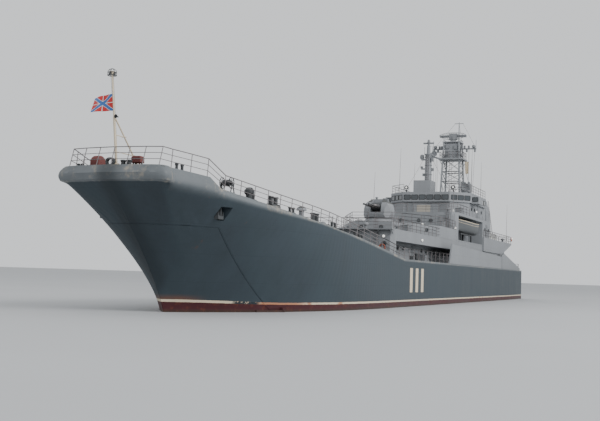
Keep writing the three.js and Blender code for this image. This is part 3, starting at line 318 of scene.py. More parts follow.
def make(name, part, finish, body="ship", replaced=(), smooth=35, bevel=0.0):
    """Object from a part in ship metres: doubles merged, faces turned outwards, smooth but for edges sharper
    than the angle, riding on its body."""
    mesh = new_mesh(name, *part)
    work = bmesh.new()
    work.from_mesh(mesh)
    bmesh.ops.remove_doubles(work, verts=work.verts, dist=2e-6)
    bmesh.ops.recalc_face_normals(work, faces=work.faces)
    work.to_mesh(mesh)
    work.free()
    return adopt(name, mesh, finish, body, replaced, smooth=smooth, bevel=bevel)


def round_edges(piece, width):
    """Rounds the sharp edges of a piece by a width in ship metres."""
    edge = piece.modifiers.new("Edges", "BEVEL")
    edge.width = width / MODEL_SCALE
    edge.segments = 2
    edge.limit_method = "ANGLE"
    return edge


def new_object(name, data):
    """Object linked to the scene."""
    made = bpy.data.objects.new(name, data)
    bpy.context.scene.collection.objects.link(made)
    return made


def adopt(name, mesh, finish, body="ship", replaced=(), smooth=38, bevel=0.0):
    """Links a mesh as a piece with its shading, bevel, finish, body and the nodes it stands for."""
    mesh.shade_smooth()
    if smooth < 180:
        mesh.set_sharp_from_angle(angle=math.radians(smooth))
    piece = new_object(name, mesh)
    mesh.materials.append(FINISHES[finish])
    if bevel:
        round_edges(piece, bevel).harden_normals = True
    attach(piece, body)
    if replaced:
        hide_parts(*replaced)
    return piece


def body_of(node):
    """The body a node of the frame rides on."""
    return next(iter(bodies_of(frame["nodes"][node])))


def merged_node(node):
    """Points in ship metres and triangles of a node's mesh, once its doubles are merged."""
    work = bmesh.new()
    work.from_mesh(frame["nodes"][node].data)
    bmesh.ops.remove_doubles(work, verts=work.verts, dist=1e-5)
    bmesh.ops.triangulate(work, faces=work.faces)
    points = np.array([vertex.co for vertex in work.verts], float) * MODEL_SCALE - (0, 0, DRAUGHT)
    triangles = np.array([[vertex.index for vertex in face.verts] for face in work.faces])
    work.free()
    return points, triangles


def smooth_copy(node, finish):
    """Merged copy of a node with smooth round faces, standing for it."""
    points, triangles = merged_node(node)
    name = f"{node}_skin"
    return adopt(name, new_mesh(name, points, [triangles]), finish, body_of(node), [node])


def keep_node(node, finish):
    """Gives a node of the frame its finish, merged and with small rounded edges."""
    piece = frame["nodes"][node]
    piece.data.materials.clear()
    piece.data.materials.append(FINISHES[finish])
    piece.modifiers.new("Merge", "WELD").merge_threshold = 1e-5
    round_edges(piece, 0.02)


# Hull form

def stem_x(z):
    """The stem leans out by a power of the height, and curves back to the forefoot under water."""
    above = STEM_X + STEM_RAKE * (np.clip(z, 0, KNUCKLE_Z) / KNUCKLE_Z) ** STEM_CURVE
    return np.where(z < 0, STEM_X - FOREFOOT * (z / DRAUGHT) ** 2, above)


def half_breadth(aft, z):
    """Half width at a distance aft of the stem: a blunt front that widens with height, then the full body."""
    rise = np.clip(z / KNUCKLE_Z, 0, 1)
    front = FRONT_HALF * rise ** FRONT_CURVE
    square = rise ** 3
    depth = FRONT_DEPTH * (1 - 0.7 * square)
    blunt = 1 - (1 - np.clip(aft / depth, 0, 1)) ** (1.8 + 1.7 * square)
    body = 1 - (1 - np.clip(aft / ENTRY, 0, 1)) ** ENTRY_CURVE
    return front * blunt + (HALF_BEAM - front) * body


def stern_taper(x):
    """The stern narrows with the square of the distance behind the taper's start."""
    return STERN_TAPER * np.clip((STERN_TAPER_X - x) / (STERN_TAPER_X - TRANSOM_X), 0, 1) ** 2


def keel_z(x):
    """The bottom rises aft with the distance to the power of one and a half."""
    return -DRAUGHT + RUN_RISE * np.clip((RUN_X - x) / (RUN_X - TRANSOM_X), 0, 1) ** 1.5


def sheer_z(x):
    """Height of the deck edge."""
    return np.interp(x, SHEER[:, 0], SHEER[:, 1])


def on_deck(x, y):
    """Place on the weather deck."""
    return x, y, sheer_z(x)


def band_height(x):
    """Height of the band under the deck edge."""
    return np.interp(x, BAND[:, 0], BAND[:, 1])


def hull_y(x, z):
    """Half width of the shell at a place: the height is first stretched to the level it has in the lines."""
    level = np.where(z > 0, z * KNUCKLE_Z / (sheer_z(x) - band_height(x)), z * DRAUGHT / -keel_z(x))
    return half_breadth(stem_x(level) - x, level) - stern_taper(x)


def deck_edge_y(x):
    """Half width of the deck at its edge, where the band leans in again."""
    aft = np.maximum(stem_x(np.array(KNUCKLE_Z)) - x, 0)
    front = smooth_step((x - 54.4) / 0.8)
    side = smooth_step((x - 36) / 12)
    lean = 0.1 * front - 0.25 * side * (1 - front)
    return half_breadth(aft, KNUCKLE_Z) + np.clip(aft / 0.15, 0, 1) * lean - stern_taper(x)


def band_y(x, z):
    """Half width of the band at a place and its share of the band's height. The band bulges out and leans in
    again by a parabola of the share, more at the bow, where the bulge also carries it forward: the station
    before that shift is found by trying it a few times."""
    station = x
    for _ in range(5):
        share = (z - sheer_z(station)) / band_height(station) + 1
        aft = np.maximum(STEM_X + STEM_RAKE - station, 0)
        front = smooth_step((station - 54.4) / 0.8)
        station = x - np.polyval(BULGE_FRONT, share) * front * (1 - np.minimum(1, aft / 2))
    side = smooth_step((station - 36) / 12)
    lean = np.polyval(BULGE_FRONT, share) * front + np.polyval(BULGE_SIDE, share) * side * (1 - front)
    y = half_breadth(aft, KNUCKLE_Z) + np.clip(aft / 0.15, 0, 1) * lean - stern_taper(station)
    return y, share


def smooth_step(share):
    """Three squares less two cubes of a share held between nought and one."""
    share = np.clip(share, 0, 1)
    return share * share * (3 - 2 * share)


def fine_shell(node, cuts):
    """Points and triangles of a node whose faces on the shell are cut finer and moved out to the hull's formula.
    Each triangle is cut into cuts * cuts equal ones, so that neighbours still share their points."""
    points, triangles = merged_node(node)
    corners = points[triangles]
    across = np.cross(corners[:, 1] - corners[:, 0], corners[:, 2] - corners[:, 0])
    normal = unit(across)
    x, y, z = corners[..., 0], np.abs(corners[..., 1]), corners[..., 2]
    off = np.abs(y - hull_y(x, z))
    top = sheer_z(x) - band_height(x) + 0.01
    centre = corners.mean(axis=1)
    near = np.abs(np.abs(centre[:, 1]) - hull_y(centre[:, 0], centre[:, 2])) < 0.5
    fair = (off < 0.02).all(axis=1) & (z < top).all(axis=1) & (z > BILGE_TOP - 0.01).all(axis=1)
    on_shell = fair & near & (np.abs(normal[:, 2]) < 0.97)
    width, share = band_y(x, z)
    banded = (np.abs(y - width) < 0.06).all(axis=1) & (share > 0.06).all(axis=1) & (np.abs(normal[:, 2]) < 0.93)
    steps = [(i, j) for i in range(cuts + 1) for j in range(cuts + 1 - i)]
    number = {step: index for index, step in enumerate(steps)}
    weights = np.array([(i, j, cuts - i - j) for i, j in steps]) / cuts
    fine = sum(corners[:, None, k] * weights[None, :, k, None] for k in range(3))
    small = [(number[i, j], number[i + 1, j], number[i, j + 1]) for i, j in steps if i + j < cuts]
    small += [(number[i + 1, j], number[i + 1, j + 1], number[i, j + 1]) for i, j in steps if i + j < cuts - 1]
    local = np.array(small)
    faces = local[None] + np.arange(len(fine))[:, None, None] * len(steps)
    flat = fine.reshape(-1, 3)
    keys = np.round(flat * 1e5).astype(np.int64)
    _, first, same = np.unique(keys, axis=0, return_index=True, return_inverse=True)
    same = same.ravel()
    moved = flat[first]
    for chosen, target in (
        (on_shell, hull_y(moved[:, 0], moved[:, 2])), (banded, band_y(moved[:, 0], moved[:, 2])[0]),
    ):
        touches = np.zeros(len(first), bool)
        touches[same[np.repeat(chosen, len(steps))]] = True
        shift = np.sign(moved[:, 1]) * target - moved[:, 1]
        usable = touches & (np.abs(shift) < 0.4) & (np.abs(moved[:, 1]) > 0.01)
        moved[usable, 1] += shift[usable]
    faces = same[faces].reshape(-1, 3)
    return soften(moved, faces), faces


def soften(points, faces):
    """Rounds the knuckle under the band behind the front corner: near it each point moves step by step towards
    the mean of its neighbours."""
    gap = np.abs(points[:, 2] - sheer_z(points[:, 0]) + band_height(points[:, 0]))
    weight = np.clip(1.4 - gap / 0.35, 0, 1) * smooth_step((55 - points[:, 0]) / 0.5)
    weight = (weight * smooth_step((points[:, 0] - 30) / 8) * (np.abs(points[:, 1]) > 1))[:, None] * 0.7
    ends = faces[:, [1, 2, 0]].ravel()
    count = np.maximum(np.bincount(faces.ravel(), minlength=len(points)), 1)[:, None]
    for _ in range(14):
        total = [np.bincount(faces.ravel(), points[ends, axis], len(points)) for axis in range(3)]
        points = points + weight * (np.stack(total, axis=1) / count - points)
    return points


def shell_piece(node, name):
    """Fine copy of a shell node with the share of the band at each point kept as an attribute."""
    points, faces = fine_shell(node, SHELL_CUTS)
    mesh = new_mesh(name, points, [faces])
    work = bmesh.new()
    work.from_mesh(mesh)
    bmesh.ops.dissolve_degenerate(work, dist=1e-6, edges=work.edges)
    work.to_mesh(mesh)
    work.free()
    return mark_band(adopt(name, mesh, "hull", body_of(node), [node], 32))


def mark_band(piece):
    """Keeps each point's share of the band's height as an attribute of the piece's mesh."""
    flat = np.empty(3 * len(piece.data.vertices))
    piece.data.vertices.foreach_get("co", flat)
    points = flat.reshape(-1, 3) * MODEL_SCALE - (0, 0, DRAUGHT)
    band = (points[:, 2] - sheer_z(points[:, 0])) / band_height(points[:, 0]) + 1
    piece.data.attributes.new("band", "FLOAT", "POINT").data.foreach_set("value", band.astype(np.float32))
    return piece


# Shader nodes

class Value:
    """Output of a shader node. Its sums, products and comparisons are Math nodes in the same tree."""

    def __init__(self, tree, socket):
        self.tree, self.socket = tree, socket

    def calc(self, operation, *others, clamp=False):
        """Result of one Math node fed by this value and the others."""
        inputs = dict(enumerate((self, *others)))
        return add_node(self.tree, "ShaderNodeMath", inputs, operation=operation, use_clamp=clamp)

    def __add__(self, other):
        return self.calc("ADD", other)

    def __sub__(self, other):
        return self.calc("SUBTRACT", other)

    def __rsub__(self, other):
        return add_node(self.tree, "ShaderNodeMath", {0: other, 1: self}, operation="SUBTRACT")

    def __mul__(self, other):
        return self.calc("MULTIPLY", other)

    def __truediv__(self, other):
        return self.calc("DIVIDE", other)

    def __gt__(self, other):
        return self.calc("GREATER_THAN", other)

    def __lt__(self, other):
        return self.calc("LESS_THAN", other)

    def __abs__(self):
        return self.calc("ABSOLUTE")


def add_node(tree, kind, inputs=None, output=0, **settings):
    """Adds a node, sets its options, links or sets its inputs by name or number, and gives one output."""
    made = tree.nodes.new(kind)
    for key, value in settings.items():
        setattr(made, key, value)
    for key, value in (inputs or {}).items():
        if isinstance(value, Value):
            tree.links.new(value.socket, made.inputs[key])
        else:
            made.inputs[key].default_value = value
    return Value(tree, made.outputs[output])


def step_up(value, low, high):
    """Rises smoothly from nought where the value is low to one where it is high."""
    inputs = {"Value": value, "From Min": low, "From Max": high}
    return add_node(value.tree, "ShaderNodeMapRange", inputs, interpolation_type="SMOOTHSTEP")


def blend(share, first, second):
    """The first colour where the share is nought, the second where it is one."""
    inputs = {0: share, 6: first, 7: second}
    return add_node(share.tree, "ShaderNodeMix", inputs, 2, data_type="RGBA", blend_type="MIX", clamp_factor=True)


def noise(vector, scale, detail=4.0, rough=0.55):
    """Factor of one Noise node."""
    inputs = {"Vector": vector, "Scale": scale, "Detail": detail, "Roughness": rough}
    return add_node(vector.tree, "ShaderNodeTexNoise", inputs, "Fac")


def stretched(vector, scale):
    """A vector multiplied along each axis."""
    return add_node(vector.tree, "ShaderNodeMapping", {"Vector": vector, "Scale": scale}, vector_type="POINT")


def split(vector):
    """The three numbers of a vector."""
    x = add_node(vector.tree, "ShaderNodeSeparateXYZ", {0: vector})
    return [Value(x.tree, socket) for socket in x.socket.node.outputs]


def coordinate(tree, kind="Object"):
    """The Object coordinate, or the UV map's."""
    return add_node(tree, "ShaderNodeTexCoord", output=kind)


def new_group(name, **inputs):
    """Empty shader node group with a float input for each name and default. Gives its tree and the inputs."""
    tree = bpy.data.node_groups.new(name, "ShaderNodeTree")
    for label, value in inputs.items():
        tree.interface.new_socket(label, in_out="INPUT", socket_type="NodeSocketFloat").default_value = value
    given = tree.nodes.new("NodeGroupInput").outputs
    return tree, [Value(tree, given[label]) for label in inputs]


def end_group(tree, **results):
    """Gives the group a float output for each named result."""
    for label in results:
        tree.interface.new_socket(label, in_out="OUTPUT", socket_type="NodeSocketFloat")
    out = tree.nodes.new("NodeGroupOutput").inputs
    for label, value in results.items():
        tree.links.new(value.socket, out[label])


def use_group(tree, name, **inputs):
    """Places a node group with its own values and gives its outputs by name."""
    made = tree.nodes.new("ShaderNodeGroup")
    made.node_tree = bpy.data.node_groups[name]
    for label, value in inputs.items():
        made.inputs[label].default_value = value
    return {socket.name: Value(tree, socket) for socket in made.outputs}


def weather_group():
    """Cloudy fading, upright streaks and fine specks, with the roughness and height that go with them."""
    tree, (scale, streaks) = new_group("Weathering", Scale=1.0, Streaks=0.4)
    place_at = add_node(tree, "ShaderNodeVectorMath", {0: coordinate(tree), "Scale": scale}, operation="SCALE")
    cloud = noise(place_at, 2.2, 6.0, 0.62)
    streak = noise(stretched(place_at, (16.0, 16.0, 1.1)), 1.0, 5.0, 0.6)
    speck = noise(place_at, 90.0, 3.0, 0.7)
    shade = (cloud - 0.5) * 0.9 + 0.5 + (streak - 0.5) * streaks
    shade = shade.calc("ADD", (speck - 0.5) * 0.25, clamp=True)
    end_group(tree, Shade=shade, Roughness=shade * 0.25 + 0.42, Height=speck * 0.3 + cloud * 0.7)


def plating_group():
    """Butt and lap seams of plates on upright walls, and the shallow dishing of each plate between its frames."""
    tree, (length, width, frames) = new_group("Plating", Length=0.6, Width=0.19, Frames=0.06)
    x, y, z = split(coordinate(tree))
    lengthwise = x + y
    row = z / width
    column = lengthwise / length + row.calc("FLOOR") * 0.37

    def from_edge(value, size):
        share = value.calc("FRACT")
        return share.calc("MINIMUM", 1.0 - share) * size

    distance = from_edge(column, length).calc("MINIMUM", from_edge(row, width))
    seam = 1.0 - step_up(distance, 0.0006, 0.0022)
    wave = (lengthwise / frames * (2 * math.pi)).calc("COSINE")
    dished = wave * noise(coordinate(tree), 3.0, 2.0)
    end_group(tree, Seam=seam, Height=dished * 0.35 + seam * 0.6)


def rust_group():
    """Patches where a noise passes the threshold, drawn out into runs below."""
    tree, (scale, amount) = new_group("Rust", Scale=6.0, Amount=0.3)
    place_at = coordinate(tree)
    patch = noise(stretched(place_at, (1.0, 1.0, 0.5)), scale, 8.0, 0.68)
    runs = noise(stretched(place_at, (22.0, 22.0, 1.4)), 1.4, 4.0, 0.6)
    least = 0.72 - amount * 0.3
    end_group(tree, Mask=step_up(runs * 0.35 + patch * 0.65, least, least + 0.07))


def weave_group():
    """Over-and-under threads from two crossed sine waves on the piece's own UV map."""
    tree, (threads,) = new_group("Weave", Threads=300.0)
    uv = coordinate(tree, "UV")
    turns = threads * math.pi
    warp, weft = (abs((across * turns).calc("SINE")) for across in split(uv)[:2])
    height = warp * weft
    end_group(tree, Shade=noise(uv, 5.0, 5.0) * 0.7 + height * 0.3, Height=height)


def up_group():
    """Share of a face that looks up, for decks and ledges."""
    tree, (least,) = new_group("Facing Up", Least=0.7)
    normal = add_node(tree, "ShaderNodeNewGeometry", output="True Normal")
    end_group(tree, Mask=split(normal)[2] > least)


def start_material(name, metallic=0.0, coat=0.0):
    """Material with its shader, its tree and its uniform values set on the shader's own sockets."""
    material = bpy.data.materials.new(name)
    material.use_nodes = True
    tree = material.node_tree
    shader = tree.nodes["Principled BSDF"]
    shader.inputs["Metallic"].default_value = metallic
    shader.inputs["Coat Weight"].default_value = coat
    return material, tree, shader


def dress(shader, colour, roughness, height=None, distance=0.001):
    """Feeds the shader its colour and roughness and, where there is a height, its normal."""
    links = colour.tree.links
    links.new(colour.socket, shader.inputs["Base Color"])
    links.new(roughness.socket, shader.inputs["Roughness"])
    if height is not None:
        inputs = {"Height": height, "Distance": distance, "Strength": 0.6}
        links.new(add_node(colour.tree, "ShaderNodeBump", inputs).socket, shader.inputs["Normal"])


def tint(colour, factor):
    """A colour made lighter or darker."""
    return tuple(min(1.0, channel * factor) for channel in colour[:3]) + (1.0,)


def painted(name, colour, streaks=0.4, rust=0.15, scale=1.0, plates=False, deck=None, spread=0.28):
    """Weathered paint: a colour between a lighter and a darker tint by the shade, rust patches, plate seams on
    walls and, where a deck colour is given, gritty deck paint on faces that look up."""
    material, tree, shader = start_material(name)
    weather = use_group(tree, "Weathering", Scale=scale, Streaks=streaks)
    paint = blend(weather["Shade"], tint(colour, 1 - spread), tint(colour, 1 + spread))
    height = weather["Height"]
    if plates:
        plating = use_group(tree, "Plating")
        paint = blend(plating["Seam"] * 0.28, paint, tint(colour, 0.5))
        height = plating["Height"] * 0.8 + height
    if deck:
        grit = noise(coordinate(tree), 260.0, 2.0)
        walked = blend(noise(coordinate(tree), 1.7, 6.0, 0.66), tint(deck, 0.72), tint(deck, 1.3))
        walked = blend(grit * 0.35, walked, tint(deck, 0.5))
        paint = blend(use_group(tree, "Facing Up")["Mask"], paint, walked)
        height = grit * 0.8 + height
    mask = use_group(tree, "Rust", Scale=7.0 * scale, Amount=rust)["Mask"]
    dress(shader, blend(mask * 0.75, paint, RUST_COLOUR), mask * 0.3 + weather["Roughness"], height, 0.0012)
    return material


def hull_material(name, colours):
    """Hull paint by height: dull red below the stripe, the worn cream stripe, grey sides with plate seams, the pale
    band by its attribute, painted as a highlight where the upper strake faces the sky, painted shade down the stem
    and gritty paint on the deck. Plain pale bars stand abreast the foremost gun."""
    material, tree, shader = start_material(name)
    shader.inputs["Specular IOR Level"].default_value = 0.3
    weather = use_group(tree, "Weathering", Scale=0.8, Streaks=0.55)
    place_at = coordinate(tree)
    x, y, z = split(place_at)
    coarse = noise(place_at, 3.2, 8.0, 0.7)
    fine = noise(place_at, 24.0, 6.0, 0.66)
    side = blend(weather["Shade"], tint(colours.hull, 0.7), tint(colours.hull, 1.32))
    plating = use_group(tree, "Plating", Length=0.62, Width=0.195)
    side = blend(plating["Seam"] * 0.22, side, tint(colours.hull, 0.45))

    # Pale band, a painted highlight where the upper strake faces the sky: full at the bow, thin and faint along the
    # waist, with chalky worn patches
    band = add_node(tree, "ShaderNodeAttribute", output="Fac", attribute_name="band")
    soft = 1.0 - step_up(x, 5.44, 5.5)
    band_highlight = step_up((fine - 0.5) * 0.08 + band, soft * -0.45 - 0.02, soft * 0.4 + 0.03)
    chalk = step_up(fine * 0.4 + coarse * 0.6, 0.5, 0.66)
    pale = blend(weather["Shade"], tint(colours.band, 0.8), tint(colours.band, 1.2))
    side = blend(band_highlight, side, blend(chalk * 0.5, pale, tint(colours.stripe, 0.75)))

    # Three plain bars on each side in the place of a number
    across = (x - MARK_AFT / MODEL_SCALE) / (MARK_PITCH / MODEL_SCALE)
    barred = (across.calc("FRACT") < MARK_SHARE) * (across > 0.0) * (across < 3.0) * (abs(y) > 0.5)
    barred = barred * (z > (MARK_LOW + DRAUGHT) / MODEL_SCALE) * (z < (MARK_HIGH + DRAUGHT) / MODEL_SCALE)
    side = blend(barred * (1.0 - step_up(fine, 0.6, 0.72)), side, tint(colours.stripe, 1.0))

    # Painted shade down the blunt stem, darkening the paint towards the centreline, and rust runs, thicker near the
    # bow
    stem_shade = (1.0 - step_up(abs(y), 0.02, 0.13)) * step_up(x, 4.88, 4.98)
    side = blend(stem_shade * 0.6, side, tint(colours.hull, 0.4))
    rust = use_group(tree, "Rust", Scale=5.0, Amount=0.3)["Mask"] * (step_up(x, 0.5, 4.6) * 0.25 + 0.18)
    side = blend(rust, side, RUST_COLOUR)

    # Waterline stripe, deeper and higher towards the stem, cream there, broken and then rusted through abreast
    # the door seam and patchy behind it, with a brown stain over its fore end
    climb = step_up(x, 3.9, 4.9)
    wavy = (fine - 0.5) * 0.006 + z
    stripe_low = climb * 0.017 + (STRIPE_LOW + DRAUGHT) / MODEL_SCALE
    stripe_high = climb * 0.02 + (STRIPE_HIGH + DRAUGHT) / MODEL_SCALE
    above = wavy > stripe_high
    cream = step_up(x, 4.4, 4.46)
    seam = step_up(x, 4.18, 4.24)
    patchy = step_up(cream * -0.2 + coarse, 0.55, 0.66)
    worn = patchy.calc("MAXIMUM", step_up(x, 3.6, 3.85) - seam)
    gone = (seam - cream) * step_up(fine, 0.46, 0.52)
    stripe = blend(fine, tint(colours.stripe, 0.85), tint(colours.stripe, 1.08))
    stripe = blend(worn * 0.8, stripe, STRIPE_WEAR)
    stripe = blend(gone, stripe, tint(colours.hull, 0.6))
    stain = step_up(x, 4.6, 4.8) * (1.0 - step_up(wavy - stripe_high, 0.0, 0.045)) * coarse
    side = blend(stain, side, tint(RUST_COLOUR, 1.2))
    red = blend(weather["Shade"], tint(colours.bottom, 0.6), tint(colours.bottom, 1.35))
    red = blend(step_up(fine, 0.5, 0.68) * 0.3, red, tint(STRIPE_WEAR, 0.5))
    slime = 1.0 - step_up(wavy, WATERLINE, WATERLINE + 0.03)
    red = blend(slime * 0.45, red, (0.03, 0.045, 0.025, 1.0))
    paint = blend(above, blend(wavy > stripe_low, red, stripe), side)

    # Deck
    deck = blend(coarse, tint(colours.deck, 0.7), tint(colours.deck, 1.3))
    deck = blend(noise(place_at, 240.0, 2.0) * 0.3, deck, tint(colours.deck, 0.5))
    paint = blend(use_group(tree, "Facing Up", Least=0.8)["Mask"] * above, paint, deck)
    height = plating["Height"] * 0.7 + weather["Height"]
    dress(shader, paint, rust * 0.3 + weather["Roughness"], height, 0.0016)
    return material


def glass_material(name):
    """Dark bridge glass: a deep blue-black that varies a little from pane to pane, under a clear coat."""
    material, tree, shader = start_material(name, coat=1.0)
    shade = noise(stretched(coordinate(tree), (7.0, 7.0, 1.0)), 1.0, 1.0)
    dress(shader, blend(shade, (0.008, 0.012, 0.016, 1), (0.04, 0.055, 0.065, 1)), shade * 0.1 + 0.04)
    return material


def metal_material(name, colour, dark, rough):
    """Bare metal whose tarnish follows a cloudy noise."""
    material, tree, shader = start_material(name, metallic=1.0)
    weather = use_group(tree, "Weathering", Scale=3.0, Streaks=0.2)
    shade = weather["Shade"]
    dress(shader, blend(shade, dark, colour), shade * -0.2 + rough, weather["Height"], 0.0006)
    return material


def lamp_material(name, colour):
    """Frosted lamp glass that glows faintly and unevenly."""
    material, tree, shader = start_material(name, coat=0.6)
    glow = noise(coordinate(tree), 30.0, 2.0)
    shade = blend(glow, tint(colour, 0.85), colour)
    dress(shader, shade, glow * 0.2 + 0.15)
    tree.links.new(shade.socket, shader.inputs["Emission Color"])
    shader.inputs["Emission Strength"].default_value = 0.9
    return material


def canvas_material(name, colour):
    """Heavy woven canvas, faded in blotches."""
    material, tree, shader = start_material(name)
    weave = use_group(tree, "Weave", Threads=220.0)
    height = weave["Height"]
    shade = weave["Shade"] * 0.5 + use_group(tree, "Weathering", Scale=5.0, Streaks=0.5)["Shade"] * 0.5
    dress(shader, blend(shade, tint(colour, 0.55), tint(colour, 1.5)), height * -0.15 + 0.92, height, 0.0004)
    return material


def jack_material(name, red, blue, white):
    """Woven bunting with a red field, a blue diagonal cross edged with white and a thin white upright cross."""
    material, tree, shader = start_material(name)
    across, up = (part - 0.5 for part in split(coordinate(tree, "UV"))[:2])
    diagonal = abs(across - up).calc("MINIMUM", abs(across + up))
    upright = (abs(across) * 1.5).calc("MINIMUM", abs(up))
    weave = use_group(tree, "Weave", Threads=150.0)
    shade, height = weave["Shade"], weave["Height"]
    cloth = blend(upright < 0.022, blend(shade, tint(red, 0.75), tint(red, 1.2)), white)
    cloth = blend(diagonal < 0.128, cloth, white)
    cloth = blend(diagonal < 0.1, cloth, blend(shade, tint(blue, 0.8), tint(blue, 1.2)))
    shader.inputs["Sheen Weight"].default_value = 0.3
    dress(shader, cloth, height * -0.1 + 0.85, height, 0.0002)
    return material


def make_materials(colours):
    """Every finish by its name."""
    for build in (weather_group, plating_group, rust_group, weave_group, up_group):
        build()
    return {
        "hull": hull_material("hull_paint", colours),
        "house": painted("house_paint", colours.house, plates=True, deck=colours.deck),
        "trim": painted("trim_paint", tint(colours.house, 0.8), streaks=0.3),
        "rail": painted("rail_paint", colours.rail, streaks=0.2, scale=2.0),
        "dark": painted("dark_gear_paint", colours.gear, rust=0.3, scale=2.0),
        "buff": painted("cream_paint", colours.stripe, rust=0.22, scale=2.0, spread=0.12),
        "white": painted("white_paint", (0.72, 0.72, 0.7), rust=0.12, scale=2.0, spread=0.1),
        "red": painted("underwater_paint", colours.bottom, rust=0.3, scale=1.5),
        "black": painted("soot_black", (0.02, 0.02, 0.021), rust=0.2, scale=2.0),
        "rope": painted("tarred_rope", (0.12, 0.09, 0.06), rust=0.1, scale=4.0),
        "boat": painted("boat_paint", (0.1, 0.108, 0.112), scale=2.0),
        "buoy": painted("life_ring_paint", (0.36, 0.09, 0.05), rust=0.1, scale=2.0, spread=0.15),
        "panel": painted("beige_panel", (0.4, 0.37, 0.32), rust=0.2, scale=2.0, spread=0.15),
        "glass": glass_material("bridge_glass"),
        "lamp": lamp_material("lamp_glass", (0.9, 0.9, 0.86, 1.0)),
        "bronze": metal_material("cast_bronze", (0.78, 0.55, 0.27, 1), (0.25, 0.2, 0.1, 1), 0.5),
        "steel": metal_material("worn_steel", (0.42, 0.42, 0.43, 1), (0.12, 0.1, 0.09, 1), 0.6),
        "canvas": canvas_material("brown_canvas", colours.canvas),
        "grey_canvas": canvas_material("grey_canvas", (0.14, 0.15, 0.14)),
        "signal": canvas_material("cream_bunting", tint(colours.stripe, 0.95)),
        "jack": jack_material("jack_bunting", (0.62, 0.03, 0.03, 1), (0.05, 0.16, 0.45, 1), (0.8, 0.8, 0.8, 1)),
    }


# Pieces

def build_hull():
    """Fine hull shell and the two bow doors."""
    shell_piece("hull", "hull_shell")
    for name, _ in SIDES:
        shell_piece(f"bow_door_{name}", f"bow_door_{name}_shell")
    build_door_seals()


def build_door_seals():
    """Strips in hull paint in the gaps round the bow doors. Those on the hull follow the shell's half width
    along the leaning seam and along the top seam, where the distance from the stem grows with a power of the
    share; the one on the port door follows the stem. Each has a flat section just inside the shell."""
    width, depth = DOOR_GAP * 0.8, 0.12
    section = ((-0.002, 0.012), (width, 0.012), (width, depth), (-0.002, depth))

    def stem_at(z):
        x = np.full(np.shape(z), STEM_X + 3.0)
        for _ in range(6):
            x = stem_x(np.asarray(z) * KNUCKLE_Z / (sheer_z(x) - band_height(x)))
        return x

    height = np.linspace(DOOR_LOW, DOOR_HIGH, 40)
    leaning = []
    for ahead, inset in section:
        x = SEAM_X + (height - SEAM_Z) / math.tan(SEAM_ANGLE) + ahead * math.sin(SEAM_ANGLE)
        z = height - ahead * math.cos(SEAM_ANGLE)
        leaning.append(beside(x, hull_y(x, z) - inset, z))
    level = []
    share = np.linspace(0, 1, 60)
    corner_x = SEAM_X + (DOOR_HIGH - SEAM_Z) / math.tan(SEAM_ANGLE)
    for below, inset in section:
        z = DOOR_HIGH - below
        stem = stem_at(z)
        x = stem - (stem - corner_x) * share ** 2.2
        plan = beside(x, hull_y(x, z))
        plan[0, 1] = 0
        step = unit(np.gradient(plan, axis=0))
        inward = beside(-step[:, 1], step[:, 0])
        plan = plan + inward * inset
        level.append(beside(plan[:, 0], np.maximum(plan[:, 1], 0), z))
    strips = [grid(np.stack(rows, axis=1), wrap=True, caps=True) for rows in (leaning, level)]
    mark_band(make("door_seals", both(join(strips)), "hull"))
    height = np.linspace(DOOR_LOW + DOOR_GAP, DOOR_HIGH - DOOR_GAP, 40)
    upright = [beside(stem_at(height) - inset, DOOR_SPLIT - across, height) for across, inset in section]
    mark_band(make("stem_seal", grid(np.stack(upright, axis=1), wrap=True, caps=True), "hull",
                   body_of("bow_door_port")))


def build_houses():
    """Flat-walled pieces of the frame, with their paint and small rounded edges."""
    flat = {
        "house": [
            "lower_deckhouse", "gun_house", "main_deckhouse", "bridge", "aft_gun_deck", "funnel_port",
            "funnel_starboard", "quarter_bulwark_port", "quarter_bulwark_starboard", "bulwark_port",
            "bulwark_starboard", "stern_gate", "hatch_cover",
        ],
        "dark": ["bow_ramp"],
        "red": ["bilge_keel_port", "bilge_keel_starboard"],
    }
    for finish, nodes in flat.items():
        for node in nodes:
            keep_node(node, finish)


def build_round_nodes():
    """Round pieces of the frame as merged smooth copies."""
    finish_of = {
        "foremast": "house", "main_mast": "house", "topmast": "house", "nav_radar": "trim",
        "search_radar": "trim", "fore_gun_ring": "house", "aft_gun_ring": "house", "fore_turret": "house",
        "aft_turret": "house", "fore_guns": "dark", "aft_guns": "dark", "ensign_staff": "buff",
        "gun_director": "house", "windlass": "dark", "stern_winch": "dark", "cowl": "dark",
        "cable_reel": "canvas", "locker": "canvas",
    }
    for node, finish in finish_of.items():
        smooth_copy(node, finish)
    for name, _ in SIDES:
        for node, finish in {
            "davits": "dark", "anchor": "dark", "bollards": "dark", "vent": "house",
            "shaft": "red", "rudder": "red", "raft_rack": "white",
        }.items():
            smooth_copy(f"{node}_{name}", finish)


# Paths and repeated fittings

def along(path, step):
    """Points at equal distances along a path, about a step apart."""
    path = np.asarray(path, float)
    run = np.concatenate([[0], np.linalg.norm(np.diff(path, axis=0), axis=1).cumsum()])
    stations = np.linspace(0, run[-1], max(1, round(run[-1] / step)) + 1)
    return np.stack([np.interp(stations, run, column) for column in path.T], axis=1)


def legs(corners, step):
    """Evenly spaced points on each straight leg between corners, with every corner kept."""
    corners = np.asarray(corners, float)
    runs = [along(corners[index:index + 2], step)[:-1] for index in range(len(corners) - 1)]
    return np.concatenate(runs + [corners[-1:]])


def railing(feet, sizes, rows=3, up=None):
    """Posts on the given feet, upright or along the given vectors, with straight rails between neighbours at
    even heights. The top rail is thicker."""
    up = np.broadcast_to((0, 0, sizes.rail_height) if up is None else up, np.shape(feet))
    heads = feet + up
    parts = [bars(feet, heads, sizes.post_radius), bars(heads[:-1], heads[1:], sizes.rail_radius * 1.5)]
    for share in np.arange(1, rows) / rows:
        low = feet + up * share
        parts.append(bars(low[:-1], low[1:], sizes.rail_radius))
    return join(parts)


